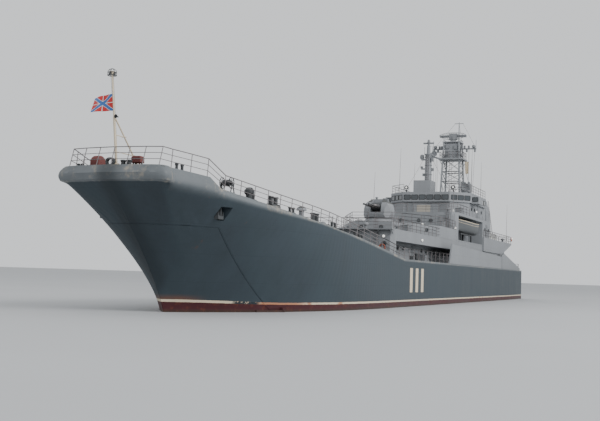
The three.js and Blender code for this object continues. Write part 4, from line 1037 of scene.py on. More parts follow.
def torus(centre, big, small, axis=2, sides=(20, 6)):
    """Circle of the small radius carried round a circle of the big one about an axis."""
    around = np.linspace(0, 2 * math.pi, sides[0] + 1)[:, None]
    about = np.arange(sides[1]) * 2 * math.pi / sides[1]
    reach = big + small * np.cos(about)
    points = np.empty((sides[0] + 1, sides[1], 3))
    first, second = [(1, 2), (2, 0), (0, 1)][axis]
    points[..., first] = reach * np.cos(around)
    points[..., second] = reach * np.sin(around)
    points[..., axis] = small * np.sin(about)
    return grid(points + centre, wrap=True)


def wall_points(outline, at, facing, reach):
    """Places of an outline on an upright wall. Its numbers are the distance along the wall and the height from
    the given place; facing is the wall's outward heading in degrees and reach the distance out from it."""
    outline = np.asarray(outline, float)
    heading = math.radians(facing)
    out = np.array((math.cos(heading), math.sin(heading), 0))
    side = np.array((-math.sin(heading), math.cos(heading), 0))
    return np.asarray(at, float) + outline[:, :1] * side + outline[:, 1:] * (0, 0, 1) + reach * out


def relief(outline, at, facing, low, high):
    """Outline on a wall carried straight out of it."""
    return grid(np.stack([wall_points(outline, at, facing, reach) for reach in (low, high)]), wrap=True, caps=True)


def rim(outer, inner, at, facing, low, high):
    """Flat frame on a wall between two outlines with as many points."""
    rows = [(outer, low), (outer, high), (inner, high), (inner, low), (outer, low)]
    return grid(np.stack([wall_points(outline, at, facing, reach) for outline, reach in rows]), wrap=True)


def ladder(foot, head, side, half=0.2, step=0.3, radius=0.022):
    """Two stringers with evenly spaced rungs from a foot to a head; side is the direction across."""
    foot, head, across = (np.asarray(value, float) for value in (foot, head, side))
    across = across * half
    count = max(2, round(np.linalg.norm(head - foot) / step))
    rungs = foot + (head - foot) * (np.arange(count) + 0.5)[:, None] / count
    starts = np.concatenate([[foot - across, foot + across], rungs - across])
    ends = np.concatenate([[head - across, head + across], rungs + across])
    return bars(starts, ends, radius)


def stair(foot, head, side, half=0.32):
    """Sloping ladder with treads and two handrails."""
    foot, head, across = (np.asarray(value, float) for value in (foot, head, side))
    steps = ladder(foot, head, across, half, 0.24, 0.03)
    edge = across * half
    up = np.array((0, 0, 0.95))
    slope = head - foot
    posts = foot + slope * np.array([0.04, 0.5, 0.96])[:, None]
    starts = np.concatenate([posts - edge, posts + edge, [foot - edge + up, foot + edge + up]])
    ends = np.concatenate([posts - edge + up, posts + edge + up, [head - edge + up, head + edge + up]])
    return join([steps, bars(starts, ends, 0.024)])


def wire(start, end, sag, radius=0.02, count=12):
    """Hanging wire: the straight line less the sag times 4 s (1 - s)."""
    share = np.linspace(0, 1, count + 1)[:, None]
    path = np.asarray(start, float) * (1 - share) + np.asarray(end, float) * share
    return tube(path - np.array((0, 0, 1)) * 4 * sag * share * (1 - share), radius, 4)


def chain(path, pitch=0.26, wire_radius=0.035):
    """Links along a path. Each is a ring stretched along the path, and every second one is turned a quarter."""
    centres = along(path, pitch)
    tangent = unit(np.gradient(centres, axis=0))
    level = unit(np.cross(tangent, (0, 0, 1.0)))
    upright = np.cross(level, tangent)
    odd = (np.arange(len(centres)) % 2 == 1)[:, None]
    flat, thick = np.where(odd, upright, level), np.where(odd, level, upright)
    points, faces = torus((0, 0, 0), 0.11, wire_radius, 2, (10, 5))
    lengthwise, sideways, through = points[:, 0] * 1.45, points[:, 1] * 0.8, points[:, 2]
    placed = centres[:, None] + lengthwise[:, None] * tangent[:, None] + sideways[:, None] * flat[:, None]
    return repeated(placed + through[:, None] * thick[:, None], faces)


def coil(centre, inner, turns, radius=0.04, layers=2):
    """Flat rope coil: the distance from the middle grows evenly with the angle, layer upon layer."""
    angle = np.linspace(0, 2 * math.pi * turns, round(turns * 20))
    parts = []
    for layer in range(layers):
        reach = inner + 2 * radius * angle / (2 * math.pi)
        height = np.full_like(angle, radius + layer * 1.7 * radius)
        path = beside(reach * np.cos(angle + layer), reach * np.sin(angle + layer), height)
        parts.append(tube(path + centre, radius, 6))
    return join(parts)


def door(at, facing):
    """Watertight door on a wall: frame, rounded leaf, six dogs and two hinges. at is the middle of its sill."""
    middle = np.asarray(at, float) + (0, 0, 0.98)
    outer, inner = rounded(0.47, 0.92, 8), rounded(0.4, 0.85, 8)
    dogs = np.array([(side * 0.36, height) for side in (-1, 1) for height in (-0.6, 0, 0.6)])
    starts = wall_points(dogs, middle, facing, 0.03)
    ends = wall_points(dogs * (0.72, 1), middle, facing, 0.11)
    hinges = np.array([(-0.44, -0.5), (-0.44, 0.5)])
    bolts = bars(wall_points(hinges - (0, 0.1), middle, facing, 0.07),
                 wall_points(hinges + (0, 0.1), middle, facing, 0.07), 0.04)
    frame_part = rim(outer, inner, middle, facing, -0.01, 0.06)
    return join([frame_part, relief(inner, middle, facing, -0.01, 0.04), bars(starts, ends, 0.022), bolts])


def windows(at, facing, count, width, height, pitch):
    """Frames and panes of a row of windows on a wall, with the middle of the row at the given place."""
    outer, inner, pane = (rounded(width / 2 + more, height / 2 + more, 9, 20) for more in (0.06, 0, 0.01))
    shifts = [((index - (count - 1) / 2) * pitch, 0) for index in range(count)]
    frames = [rim(outer + shift, inner + shift, at, facing, -0.01, 0.05) for shift in shifts]
    return join(frames), join([relief(pane + shift, at, facing, -0.01, 0.02) for shift in shifts])


@functools.cache
def search_tree(node):
    """Search tree of a node's faces, in ship metres."""
    points, triangles = merged_node(node)
    return BVHTree.FromPolygons(points.tolist(), triangles.tolist())


def top_of(node, x, y):
    """Height of a node's upper side at a place."""
    at, *_ = search_tree(node).ray_cast((x, y, 60), (0, 0, -1))
    if at is None:
        raise ValueError(f"nothing of {node} at {x}, {y}")
    return at.z


# Rails, ladders, doors and windows

# Rails on one side and its mirror: corners
SIDE_RAILS = [
    [(15.1, 7.33, WAIST_Z), (-4.35, 7.33, WAIST_Z)],
    [(14.95, 0.5, HOUSE1_TOP), (14.95, 6.08, HOUSE1_TOP), (-3.9, 6.08, HOUSE1_TOP)],
    [(3.65, 0.4, GUN_DECK), (3.65, 2.4, GUN_DECK), (-4, 6.05, GUN_DECK), (-11.9, 6.05, GUN_DECK)],
    [(-12.15, 0.4, HOUSE2_TOP), (-12.15, 5.4, HOUSE2_TOP), (-12.8, 6.05, HOUSE2_TOP), (-19.9, 6.05, HOUSE2_TOP)],
    [(-19.85, 3.25, BRIDGE_TOP), (-22.3, 5.66, BRIDGE_TOP), (-31.85, 5.66, BRIDGE_TOP)],
    [(-28.3, 6.28, AFT_DECK), (-49.95, 6.28, AFT_DECK), (-49.95, 0.4, AFT_DECK)],
    [(-55.5, 6.7, WAIST_Z), (-56.1, 6.5, WAIST_Z), (-56.1, 0.4, WAIST_Z)],
]
# Doors on one side and its mirror: sill and heading of the wall
DOORS = [
    ((15.1, 3.3, 4.78), 0), ((11, 4.6, WAIST_Z), 90), ((2.5, 4.6, WAIST_Z), 90), ((-8, 4.6, WAIST_Z), 90),
    ((-19, 4.6, WAIST_Z), 90), ((-30, 4.6, WAIST_Z), 90), ((-12, 4.3, GUN_DECK), 0), ((-20, 2.4, HOUSE2_TOP), 0),
    ((-30.5, 6.2, GUN_DECK - 0.14), 90), ((-45, 3.4, HOUSE1_TOP - 3.05), 180), ((-36.7, 2.1, AFT_DECK), 180),
    ((-27.5, 5.5, HOUSE2_TOP), 90),
]
# Portholes on one side and its mirror: places and heading
PORTS = [
    ([(15.1, 1.4, 6.3), (15.1, 5.2, 6.3)], 0),
    ([(x, 4.6, 6.1) for x in (8.5, 6.5, -1, -3, -12, -14, -23, -25, -34)], 90),
    ([(3.8, 1.2, 8.6)], 0), ([(1.2, 3.733, 8.6), (-1.6, 5.061, 8.6)], 64.6),
    ([(-12, 1.2, 10.4), (-12, 2.8, 10.4)], 0), ([(-29.3, 6.2, 10.2), (-31.9, 6.2, 10.2)], 90),
    ([(-23.5, 5.5, 12.7), (-25.4, 5.5, 12.7), (-30, 5.5, 12.7)], 90),
    ([(x, 5.8, 8.5) for x in (-40.5, -43)], 90),
]


def build_rails(sizes):
    """Railings round every open deck edge, on posts that stand evenly along it."""
    rails = [both(railing(legs(corners, sizes.post_spacing), sizes)) for corners in SIDE_RAILS]
    waist, flare = np.linspace(15.3, 31.4, 10), np.linspace(31.4, 48.3, 12)[1:]
    stations = np.concatenate([waist, flare, [49.9, 51.5, 52.9, 54.4]])
    side = beside(stations, deck_edge_y(stations) - 0.14)
    across = np.linspace(3.35, -3.35, 7)
    edge = np.linspace(STEM_X + STEM_RAKE, 55, 60)
    front = beside(np.interp(np.abs(across), deck_edge_y(edge), edge) - 0.1, across)
    outline = np.concatenate([side, front, side[::-1] * (1, -1)])
    feet = np.column_stack([outline, sheer_z(outline[:, 0])])
    ahead = feet[:, 0]
    up = beside(np.where(ahead > 55, -0.4, -0.15), 0, np.where(ahead > 51, 1.2, 1.0))
    rails.append(railing(feet, sizes, up=up))
    make("deck_rails", join(rails), "rail")
    low = [(-36.25, -1.75, 21.36), (-36.25, 1.75, 21.36), (-33.35, 1.75, 21.36), (-33.35, -1.75, 21.36)]
    platform = railing(legs(low + low[:1], 0.75), sizes, 2, (0, 0, 0.9))
    make("mast_rails", platform, "rail")


def build_openings():
    """Doors, portholes and the dark windows of the bridge."""
    make("doors", both(join([door(at, facing) for at, facing in DOORS])), "trim", bevel=0.008)
    circle = ring(16)
    placed = [(at, facing) for places, facing in PORTS for at in places]
    rims = [rim(circle * 0.24, circle * 0.17, at, facing, -0.01, 0.07) for at, facing in placed]
    panes = [relief(circle * 0.18, at, facing, -0.01, 0.02) for at, facing in placed]
    make("port_rims", both(join(rims)), "dark")
    make("port_glass", both(join(panes)), "glass")
    # Bridge windows: middle of the row, wall heading, panes, width, height, pitch
    level = 14.12
    rows = [((-19.7, 0, level), 0, 6, 0.84, 0.58, 1.07)]
    for side in (1, -1):
        rows += [
            ((-20.95, side * 4.55, level), side * 45, 3, 0.84, 0.58, 1.07),
            ((-28.4, side * 5.8, level), side * 90, 5, 0.86, 0.6, 1.2),
            ((-22.5, side * 6.25, 14.0), 0, 1, 0.7, 0.5, 1),
        ]
    frames, panes = zip(*(windows(*row) for row in rows))
    make("window_frames", join(frames), "black")
    make("window_panes", join(panes), "glass")


def build_ladders():
    """Upright ladders on walls and masts, and sloping ladders between decks."""
    across_y, across_x = (0, 1, 0), (1, 0, 0)
    parts = [
        both(ladder((15.22, 4.3, 4.85), (15.22, 4.3, 8.9), across_y)),
        both(ladder((-11.88, 5.0, GUN_DECK), (-11.88, 5.0, 12.5), across_y)),
        both(ladder((-36.82, 2.9, AFT_DECK), (-36.82, 2.9, 15.8), across_y)),
        ladder((-20.72, -0.18, 16.5), (-20.72, -0.18, 20.1), across_y, 0.17),
        ladder((-33.18, 0, BRIDGE_TOP), (-33.5, 0, 21.2), across_y),
        both(stair((-51.6, 4.6, WAIST_Z), (-50.2, 4.6, AFT_DECK), across_y)),
        both(stair((6.4, 3.9, HOUSE1_TOP), (5.0, 3.9, GUN_DECK - 0.4), across_y)),
        both(ladder((-38.65, 5.62, AFT_DECK), (-38.65, 4.75, 15.2), across_x)),
    ]
    make("ladders", join(parts), "rail")


# Forecastle

def build_anchor_gear():
    """Anchor chains from the windlass to the hawse pipes, stoppers, pipe mouths, fairleads and bollards."""
    deck = sheer_z
    pipe = (49.3, 3.6)
    side_path = [
        (50.04, 0.8, deck(49.6) + 0.95), (50.2, 1.05, deck(49.6) + 0.6), (50.2, 1.5, deck(50.2) + 0.27),
        (50.0, 2.5, deck(50.0) + 0.18), (pipe[0], pipe[1], deck(pipe[0]) + 0.12), (49.2, 3.85, deck(49.2) - 0.1),
    ]
    make("anchor_chains", both(chain(side_path)), "dark")
    mouths = both(torus((pipe[0], pipe[1], deck(pipe[0]) + 0.03), 0.33, 0.09))
    stopper = join([
        slab((-0.16, -0.35, 0), (0.16, 0.35, 0.12)),
        bars([(-0.22, 0, 0), (0.22, 0, 0), (-0.22, 0, 0.4)],
             [(-0.22, 0, 0.42), (0.22, 0, 0.42), (0.22, 0, 0.4)], 0.06),
    ])
    make("chain_fittings", join([mouths, both(copies(stopper, [on_deck(50.1, 2.1)]))]), "dark",
         bevel=0.01)

    base = slab((-0.5, -0.14, 0), (0.5, 0.14, 0.08))
    horn = lathe([(0.1, 0), (0.09, 0.2), (0.13, 0.34), (0.12, 0.38), (0.02, 0.4)], (0, 0, 0.08), 12)
    chock = join([base, copies(horn, [(-0.34, 0, 0), (0.34, 0, 0)])])
    places = [(x, deck_edge_y(x) - 0.5, deck(x)) for x in (53.4, 46.6, 41.5, 34.2, 27.6)]
    aft = [(x, 6.75, WAIST_Z) for x in (10.5, 2.5)]
    make("fairleads", both(copies(chock, places + aft)), "dark")
    twin = join([slab((-0.7, -0.25, 0), (0.7, 0.25, 0.1))] + [
        lathe([(0.17, 0), (0.17, 0.55), (0.22, 0.55), (0.22, 0.65), (0.02, 0.67)], (x, 0, 0.1), 16)
        for x in (-0.42, 0.42)])
    spots = [on_deck(36.9, 6.35), on_deck(27.5, 6.6), (8, 6.7, WAIST_Z), (-51.5, 6.1, WAIST_Z)]
    make("spare_bollards", both(copies(twin, spots)), "dark")


def build_deck_fittings():
    """Hatches, ventilators, rope coils, lockers and life rings."""
    coaming = join([
        slab((-0.6, -0.6, 0), (0.6, 0.6, 0.4)), slab((-0.66, -0.66, 0.4), (0.66, 0.66, 0.46)),
        bars([(-0.4, 0.5, 0.5), (0.4, 0.5, 0.5)], [(-0.4, -0.1, 0.5), (0.4, -0.1, 0.5)], 0.04),
        torus((0, -0.2, 0.58), 0.16, 0.025),
    ])
    hatches = [on_deck(44.5, 0), on_deck(38, 2.6), on_deck(34.8, -2.9),
               *two_sided(on_deck(29, 3.6), (-53.3, 3.9, WAIST_Z))]
    make("hatch_coamings", copies(coaming, hatches), "trim", bevel=0.02)
    mushroom = lathe([(0.16, 0), (0.16, 0.5), (0.34, 0.5), (0.34, 0.58), (0.24, 0.74), (0.03, 0.8)], (0, 0, 0), 16)
    paired = two_sided(on_deck(42, 1.9), (12.8, 2.4, HOUSE1_TOP), (9.5, 4.8, HOUSE1_TOP),
                       (-15, 4.3, HOUSE2_TOP), (-48.2, 5.3, AFT_DECK))
    single = [on_deck(36, 4.6), on_deck(32, -5), (-25.8, 4.6, BRIDGE_TOP), (-30.4, -4.6, BRIDGE_TOP)]
    make("deck_vents", copies(mushroom, paired + single), "trim")
    places = [on_deck(45.2, 3.6), on_deck(45.4, -4.2), on_deck(31.3, 6.1), *two_sided((-52, 5, WAIST_Z))]
    make("rope_coils", join([coil(at, 0.12, 5) for at in places]), "rope")
    box_part = join([slab((-0.75, -0.35, 0.08), (0.75, 0.35, 0.75)), slab((-0.8, -0.4, 0.75), (0.8, 0.4, 0.82)),
                     slab((-0.6, -0.3, 0), (-0.5, 0.3, 0.08)), slab((0.5, -0.3, 0), (0.6, 0.3, 0.08))])
    paired = two_sided((7, 5.1, HOUSE1_TOP), (-7.5, 5.3, GUN_DECK), (-16.5, 5.4, HOUSE2_TOP))
    boxes = paired + [(12, 5.2, WAIST_Z), (0, 5.2, WAIST_Z)]
    make("ready_lockers", copies(box_part, boxes), "trim", bevel=0.02)
    # Life rings on front walls and on the aft rails
    buoys = [torus(at, 0.3, 0.065, 0) for at in [*two_sided((15.18, 5.0, 5.9)), (-11.94, -5.1, 10.6)]]
    buoys += [torus(at, 0.3, 0.065, 1) for at in two_sided((-49.9, 6.42, 9.75))]
    make("life_rings", join(buoys), "buoy")


def build_reel():
    """Wire reel by the deck edge: two spoked wheels on a drum of wound wire between A-frames."""
    x, y = 48.2, 4.35
    foot = top_of("hull", x, y) + SEAT
    axle = foot + 0.78
    parts = [bars([(x, y - 0.47, axle)], [(x, y + 0.47, axle)], 0.06, 10)]
    for side in (-0.35, 0.35):
        centre = np.array((x, y + side, axle))
        angles = np.arange(8) * math.pi / 4
        rims = beside(np.cos(angles), np.zeros(8), np.sin(angles)) * 0.4
        parts += [torus(centre, 0.39, 0.03, 1), bars(np.repeat([centre], 8, axis=0), centre + rims, 0.02),
                  lathe([(0.1, -0.05), (0.1, 0.05)], centre, 10, 1)]
    for side in (-0.44, 0.44):
        top = (x, y + side, axle)
        parts.append(bars([top, top], [(x - 0.32, y + side, foot), (x + 0.32, y + side, foot)], 0.045))
    parts.append(bars([(x - 0.32, y - 0.44, foot + 0.03), (x + 0.32, y - 0.44, foot + 0.03)],
                      [(x - 0.32, y + 0.44, foot + 0.03), (x + 0.32, y + 0.44, foot + 0.03)], 0.04))
    make("reel_frame", join(parts), "dark", replaced=["wire_reel"])
    angle = np.linspace(0, 2 * math.pi * 11, 220)
    path = beside(0.21 * np.cos(angle), np.linspace(-0.23, 0.23, 220), 0.21 * np.sin(angle))
    winding = join([tube(path + (x, y, axle), 0.024, 6), lathe([(0.2, -0.26), (0.2, 0.26)], (x, y, axle), 16, 1)])
    make("reel_wire", winding, "dark")


def jackstaff_at(z):
    """Place on the axis of the leaning jackstaff at a height."""
    foot, top = np.array((55.1, 0, 9.44)), np.array((56.0, 0, 15.2))
    return foot + (top - foot) * ((np.asarray(z, float)[..., None] - foot[2]) / (top[2] - foot[2]))


def build_jackstaff():
    """Jackstaff with its lamp cage, loudspeaker, leg struts, halyard and cleat, and the bow chock."""
    smooth_copy("jackstaff", "buff")
    head = jackstaff_at(15.2)
    rods = ring(6) * 0.28
    starts = beside(head[0] + rods[:, 0], rods[:, 1], 15.02)
    hoops = [torus((head[0], 0, 15.22), 0.28, 0.02), torus((head[0], 0, 15.03), 0.28, 0.025)]
    spokes = bars(np.repeat([(head[0], 0, 15.1)], 6, axis=0), starts, 0.015)
    arc = np.linspace(0, math.pi, 13)
    arch = tube(beside(0.28 * np.cos(arc), 0 * arc, 0.2 + 0.24 * np.sin(arc)), 0.018, 5)
    arches = [turned_by(arch, turn, "Z", (0, 0, 0)) for turn in (0, 60, 120)]
    arches = [(points + (head[0], 0, 15.02), faces) for points, faces in arches]
    lamps = [lathe([(0.03, 0), (0.07, 0.02), (0.07, 0.15), (0.03, 0.18)], (head[0] + x, y, 15.06), 10)
             for x, y in ((0, -0.19), (0, 0.19), (-0.19, 0), (0.19, 0))]
    speaker = jackstaff_at(12.45) + (0, 0.3, 0)
    horn = lathe([(0.04, 0), (0.05, 0.12), (0.12, 0.26), (0.13, 0.28), (0.04, 0.16)], speaker, 14, 0)
    stub = bars([jackstaff_at(12.4)], [speaker + (0.06, 0, 0)], 0.03)
    upright = bars(starts, starts + (0, 0, 0.2), 0.018)
    make("jackstaff_lights", join([upright, spokes, horn, stub] + hoops + arches + lamps), "dark")
    leg_head, leg_foot = jackstaff_at(12.55), np.array((52.1, 0, 9.2))
    parts = []
    for z in (11.35, 10.3):
        share = (z - leg_foot[2]) / (leg_head[2] - leg_foot[2])
        on_leg = leg_foot + (leg_head - leg_foot) * share
        parts.append(bars([jackstaff_at(z)], [on_leg], 0.03))
        parts.append(bars([on_leg - (0, 0.18, 0)], [on_leg + (0, 0.18, 0)], 0.02))
    cleat = jackstaff_at(10.6)
    parts.append(bars([cleat + (-0.12, 0, -0.12)], [cleat + (-0.12, 0, 0.12)], 0.03))
    make("jackstaff_struts", join(parts), "buff")
    lines = [wire(jackstaff_at(15.0) + (0.02, -0.1, 0), jackstaff_at(10.6) + (-0.1, -0.08, 0), 0, 0.012),
             wire(jackstaff_at(15.0) + (-0.12, 0, 0), jackstaff_at(10.6) + (-0.16, 0, 0), 0, 0.012)]
    make("jack_halyard", join(lines), "rope")
    # Oval chock beside the centreline, a pair of bollards and two rollers at the edge
    foot = float(sheer_z(55.3))
    outer, inner = rounded(0.32, 0.27, 2.6, 28), rounded(0.19, 0.16, 2.2, 28)
    chock = rim(outer, inner, (55.35, -0.28, foot + 0.28), 0, -0.12, 0.12)
    post = lathe([(0.16, 0), (0.15, 0.3), (0.2, 0.34), (0.2, 0.42), (0.02, 0.45)], (0, 0, 0), 16)
    posts = copies(post, [(54.95, 0.42, foot), (54.95, 0.86, foot)])
    bed = slab((54.7, 0.2, foot - 0.02), (55.2, 1.1, foot + 0.12))
    roller = lathe([(0.12, 0), (0.09, 0.08), (0.09, 0.2), (0.13, 0.3), (0.02, 0.34)], (0, 0, 0), 12)
    rollers = copies(roller, [(54.8, -3.1, foot - 0.05), (54.8, -2.8, foot - 0.05)])
    make("bow_chock", join([chock, posts, bed, rollers]), "dark", bevel=0.02)


# Superstructure fittings

def turret_fittings(node, x, facing, base):
    """Hatch, vent, sight hood, lifting eyes and hand rails set on the roof of a turret."""
    def spot(ahead, across):
        at_x, at_y = x + facing * ahead, facing * across
        return np.array((at_x, at_y, top_of(node, at_x, at_y)))

    hatch = lathe([(0.3, -0.1), (0.3, 0.05), (0.26, 0.1), (0.02, 0.12)], spot(-0.45, 0.55), 18)
    vent = lathe([(0.12, -0.1), (0.12, 0.16), (0.2, 0.16), (0.16, 0.26), (0.02, 0.3)], spot(-0.5, -0.5), 14)
    hood_at = spot(0.1, 0.95)
    hood = slab(hood_at - (0.2, 0.16, 0.15), hood_at + (0.2, 0.16, 0.22))
    eyes = [torus(spot(ahead, across) + (0, 0, 0.05), 0.08, 0.02, 1, (12, 5))
            for ahead in (-0.75, 0.45) for across in (-0.85, 0.85)]
    rail_z = base + 1.5
    posts = np.array([(x - facing * (1.5 - 0.02), across, rail_z + height)
                      for across in (-0.45, 0.45) for height in (-0.35, 0.35)])
    back = np.array((-facing * 0.1, 0, 0))
    rails = bars(posts - back * 2, posts + back, 0.02)
    grips = bars(posts[::2] + back, posts[1::2] + back, 0.02)
    make(f"{node}_fittings", join([hatch, vent, hood, rails, grips] + eyes), "trim", body_of(node))


def gun_fittings(node, x, facing, base):
    """Collars, recoil springs, cooling pipes and flared muzzles on a pair of barrels."""
    centre = np.array((x + facing * 0.75, 0, base + 1.35))
    angle = np.linspace(0, 2 * math.pi * 9, 160)
    parts = []
    for across in (-0.3, 0.3):
        axis = centre + (0, across, 0)
        collars = [torus(axis + (facing * ahead, 0, 0), big, 0.03, 0, (16, 6))
                   for ahead, big in ((0.75, 0.18), (1.15, 0.17), (1.55, 0.16), (2.55, 0.1), (3.1, 0.09))]
        spring = beside(facing * np.linspace(1.62, 2.45, 160), 0.13 * np.cos(angle), 0.13 * np.sin(angle))
        pipes = bars([axis + (facing * 0.9, 0, -0.2)], [axis + (facing * 3.4, 0, -0.14)], 0.025)
        profile = [(0.07, 3.6), (0.085, 3.62), (0.125, 3.98), (0.085, 4.0), (0.06, 3.7)]
        points, faces = lathe(profile, (0, 0, 0), 16, 0)
        muzzle = points * (facing, 1, 1) + axis, faces
        parts += collars + [tube(spring + axis, 0.022, 5), pipes, muzzle]
    make(f"{node}_fittings", join(parts), "steel", body_of(node))


def build_guns():
    """Fittings of both turrets."""
    for name, x, facing, deck in TURRETS:
        turret_fittings(f"{name}_turret", x, facing, deck + TURRET_BASE)
        gun_fittings(f"{name}_guns", x, facing, deck + TURRET_BASE)
        bolts = ring(20) * 1.7
        feet = beside(x + bolts[:, 0], bolts[:, 1], deck)
        make(f"{name}_ring_bolts", bars(feet, feet + (0, 0, 0.13), 0.05, 6), "dark")


def mast_half(z):
    """Half width of the lattice mast between its legs at a height."""
    return 1.5 - 0.35 * (z - BRIDGE_TOP) / (MAST_TOP - BRIDGE_TOP)


def build_masts(sizes):
    """Braces, aerials, radomes, lamps and platforms' struts of the two masts."""
    corners = np.array([(1, 1), (1, -1), (-1, -1), (-1, 1)])
    starts, ends = [], []
    for low, high in ((BRIDGE_TOP, 17.9), (17.9, 19.4), (19.4, 21.3)):
        for first, second in zip(corners, np.roll(corners, -1, axis=0)):
            for a, b in ((first, second), (second, first)):
                starts.append((MAST_X + a[0] * mast_half(low), a[1] * mast_half(low), low))
                ends.append((MAST_X + b[0] * mast_half(high), b[1] * mast_half(high), high))
    braces = bars(starts, ends, 0.035)
    struts = [((MAST_X + sx * mast_half(20.2), sy * mast_half(20.2), 20.2),
               (MAST_X + sx * 1.5, sy * 1.8, 21.2)) for sx, sy in corners]
    knees = bars([start for start, _ in struts], [end for _, end in struts], 0.05)
    level, top = 22.85, 23.97
    dome = [(0.12, 0), (0.26, 0.12), (0.28, 0.3), (0.2, 0.46), (0.02, 0.52)]
    can = [(0.02, 0), (0.16, 0.02), (0.16, 0.4), (0.02, 0.44)]
    on_yard = [lathe(dome, (MAST_X, y, level + 0.08), 16) for y in (-2.75, 3.2)]
    on_yard += [lathe(can, (MAST_X, y, level + 0.08), 12) for y in (-2.1, -1.75, 1.8, 2.45)]
    on_yard += [lathe(can, (MAST_X, y, level - 0.52), 12) for y in (-2.95, -2.35, 2.15, 3.4)]
    tips = np.array([(MAST_X, -3.05, level), (MAST_X, 3.55, level)])
    on_yard.append(bars(tips, tips + (0, 0, 1.35), 0.03))
    outer = [lathe(dome, (-33.6 + x, y, 21.52), 16) for x, y in ((-0.3, 1.55), (-2.2, -1.5))]
    boxes = [slab((MAST_X + 1.05, y - 0.25, z), (MAST_X + 1.25, y + 0.25, z + 0.55))
             for y, z in ((-0.7, 21.7), (0.65, 22.7), (-0.6, 22.8))]
    boxes += [slab((MAST_X - 0.35, y - 0.12, 22), (MAST_X + 0.35, y + 0.12, 22.7)) for y in (-1.05, 1.05)]
    toe = railing(legs([(MAST_X - 1.2, -1.25, top), (MAST_X - 1.2, 1.25, top), (MAST_X + 1.2, 1.25, top),
                        (MAST_X + 1.2, -1.25, top), (MAST_X - 1.2, -1.25, top)], 0.8),
                  sizes, 1, (0, 0, 0.2))
    make("mast_braces", join([braces, knees, toe]), "house")
    make("mast_aerials", join(on_yard + outer + boxes), "trim")
    # Dish on the outrigger, facing forward
    dish = [(0.02, -0.02), (0.2, 0.01), (0.38, 0.09), (0.46, 0.16),
            (0.44, 0.16), (0.36, 0.12), (0.18, 0.04), (0.02, 0.02)]
    parts = [lathe(dish, (-33.45, -2.55, 22.0), 24, 0),
             bars((-33.45, -2.55, 22.0), (-33.45, -2.55, 21.4), 0.06),
             bars([(-33.4, -2.55, 22.0)], [(-33.1, -2.55, 22.0)], 0.03)]
    make("mast_dish", join(parts), "trim")

    # Fore mast: collars, radomes on the brackets and boxes
    parts = [torus((FORE_X, FORE_Y, z), big, 0.05) for z, big in ((17.4, 0.5), (18.7, 0.49), (19.85, 0.49))]
    parts += [lathe([(0.05, 0), (0.24, 0.04), (0.3, 0.3), (0.24, 0.62), (0.05, 0.7)], (FORE_X, -1.1, 19.55), 16),
              lathe([(0.05, 0), (0.18, 0.03), (0.18, 0.3), (0.05, 0.34)], (FORE_X, -1.12, 18.25), 14),
              slab((-21.05, 0.3, 19.2), (-20.75, 0.62, 19.75)), slab((-21.3, -0.95, 17.2), (-21.0, -0.6, 17.55)),
              slab((-21.4, 0.28, 17.9), (-21.05, 0.6, 18.3)),
              bars([(FORE_X, -0.7, 19.5), (FORE_X, 0.2, 20.3)],
                   [(FORE_X, -1.15, 19.5), (FORE_X, 0.75, 20.55)], 0.06),
              bars([(FORE_X, 0.38, 20.3), (FORE_X, -0.74, 20.3)],
                   [(FORE_X, 0.38, 21.3), (FORE_X, -0.74, 21.3)], 0.03)]
    make("foremast_fittings", join(parts), "trim")


def build_radars():
    """Lattice reflector of the search radar: bars follow a shallow curve in plan, between the ends of an
    ellipse seen from ahead. The tracking dish stands on the gun director."""
    node = "search_radar"
    heights = np.linspace(-0.42, 0.42, 6)
    middle = np.array((MAST_X, 0, 24.87))

    def place_on(across, up):
        return middle + beside(0.2 + 0.3 * (across / 2.05) ** 2, across, up)

    parts = []
    for up in heights:
        half = 2.05 * math.sqrt(1 - (up / 0.5) ** 2)
        across = np.linspace(-half, half, 17)
        parts.append(tube(place_on(across, up), 0.02, 5))
    across = np.linspace(-1.9, 1.9, 15)
    half = 0.5 * np.sqrt(1 - (across / 2.05) ** 2)
    parts.append(bars(place_on(across, -half), place_on(across, half), 0.018))
    around = np.linspace(0, 2 * math.pi, 41)
    parts.append(tube(place_on(2.05 * np.cos(around), 0.5 * np.sin(around)), 0.03, 6))
    backs = np.array((-1.5, -0.75, 0.75, 1.5))
    parts.append(bars(place_on(backs, 0.2), middle + beside(0, backs, 0), 0.03))
    feed = middle + np.array([(0.1, 0, -0.5), (1.1, 0, -0.15), (1.1, 0, 0.1)])
    parts.append(bars(feed[:-1], feed[1:], 0.035))
    make("radar_reflector", join(parts), "trim", body_of(node))
    dish = [(0.02, 0.02), (0.3, 0.05), (0.52, 0.16), (0.58, 0.26),
            (0.55, 0.27), (0.48, 0.2), (0.28, 0.1), (0.02, 0.08)]
    parts = [lathe(dish, (-29.8, 3.2, 16.45), 28, 0), bars((-29.7, 3.2, 16.45), (-29.2, 3.2, 16.45), 0.035),
             slab((-30.9, 2.6, 17), (-30.4, 3.0, 17.3)),
             lathe([(0.02, 0), (0.2, 0.02), (0.2, 0.2), (0.02, 0.3)], (-30.1, 3.6, 17), 14)]
    make("director_dish", join(parts), "trim")


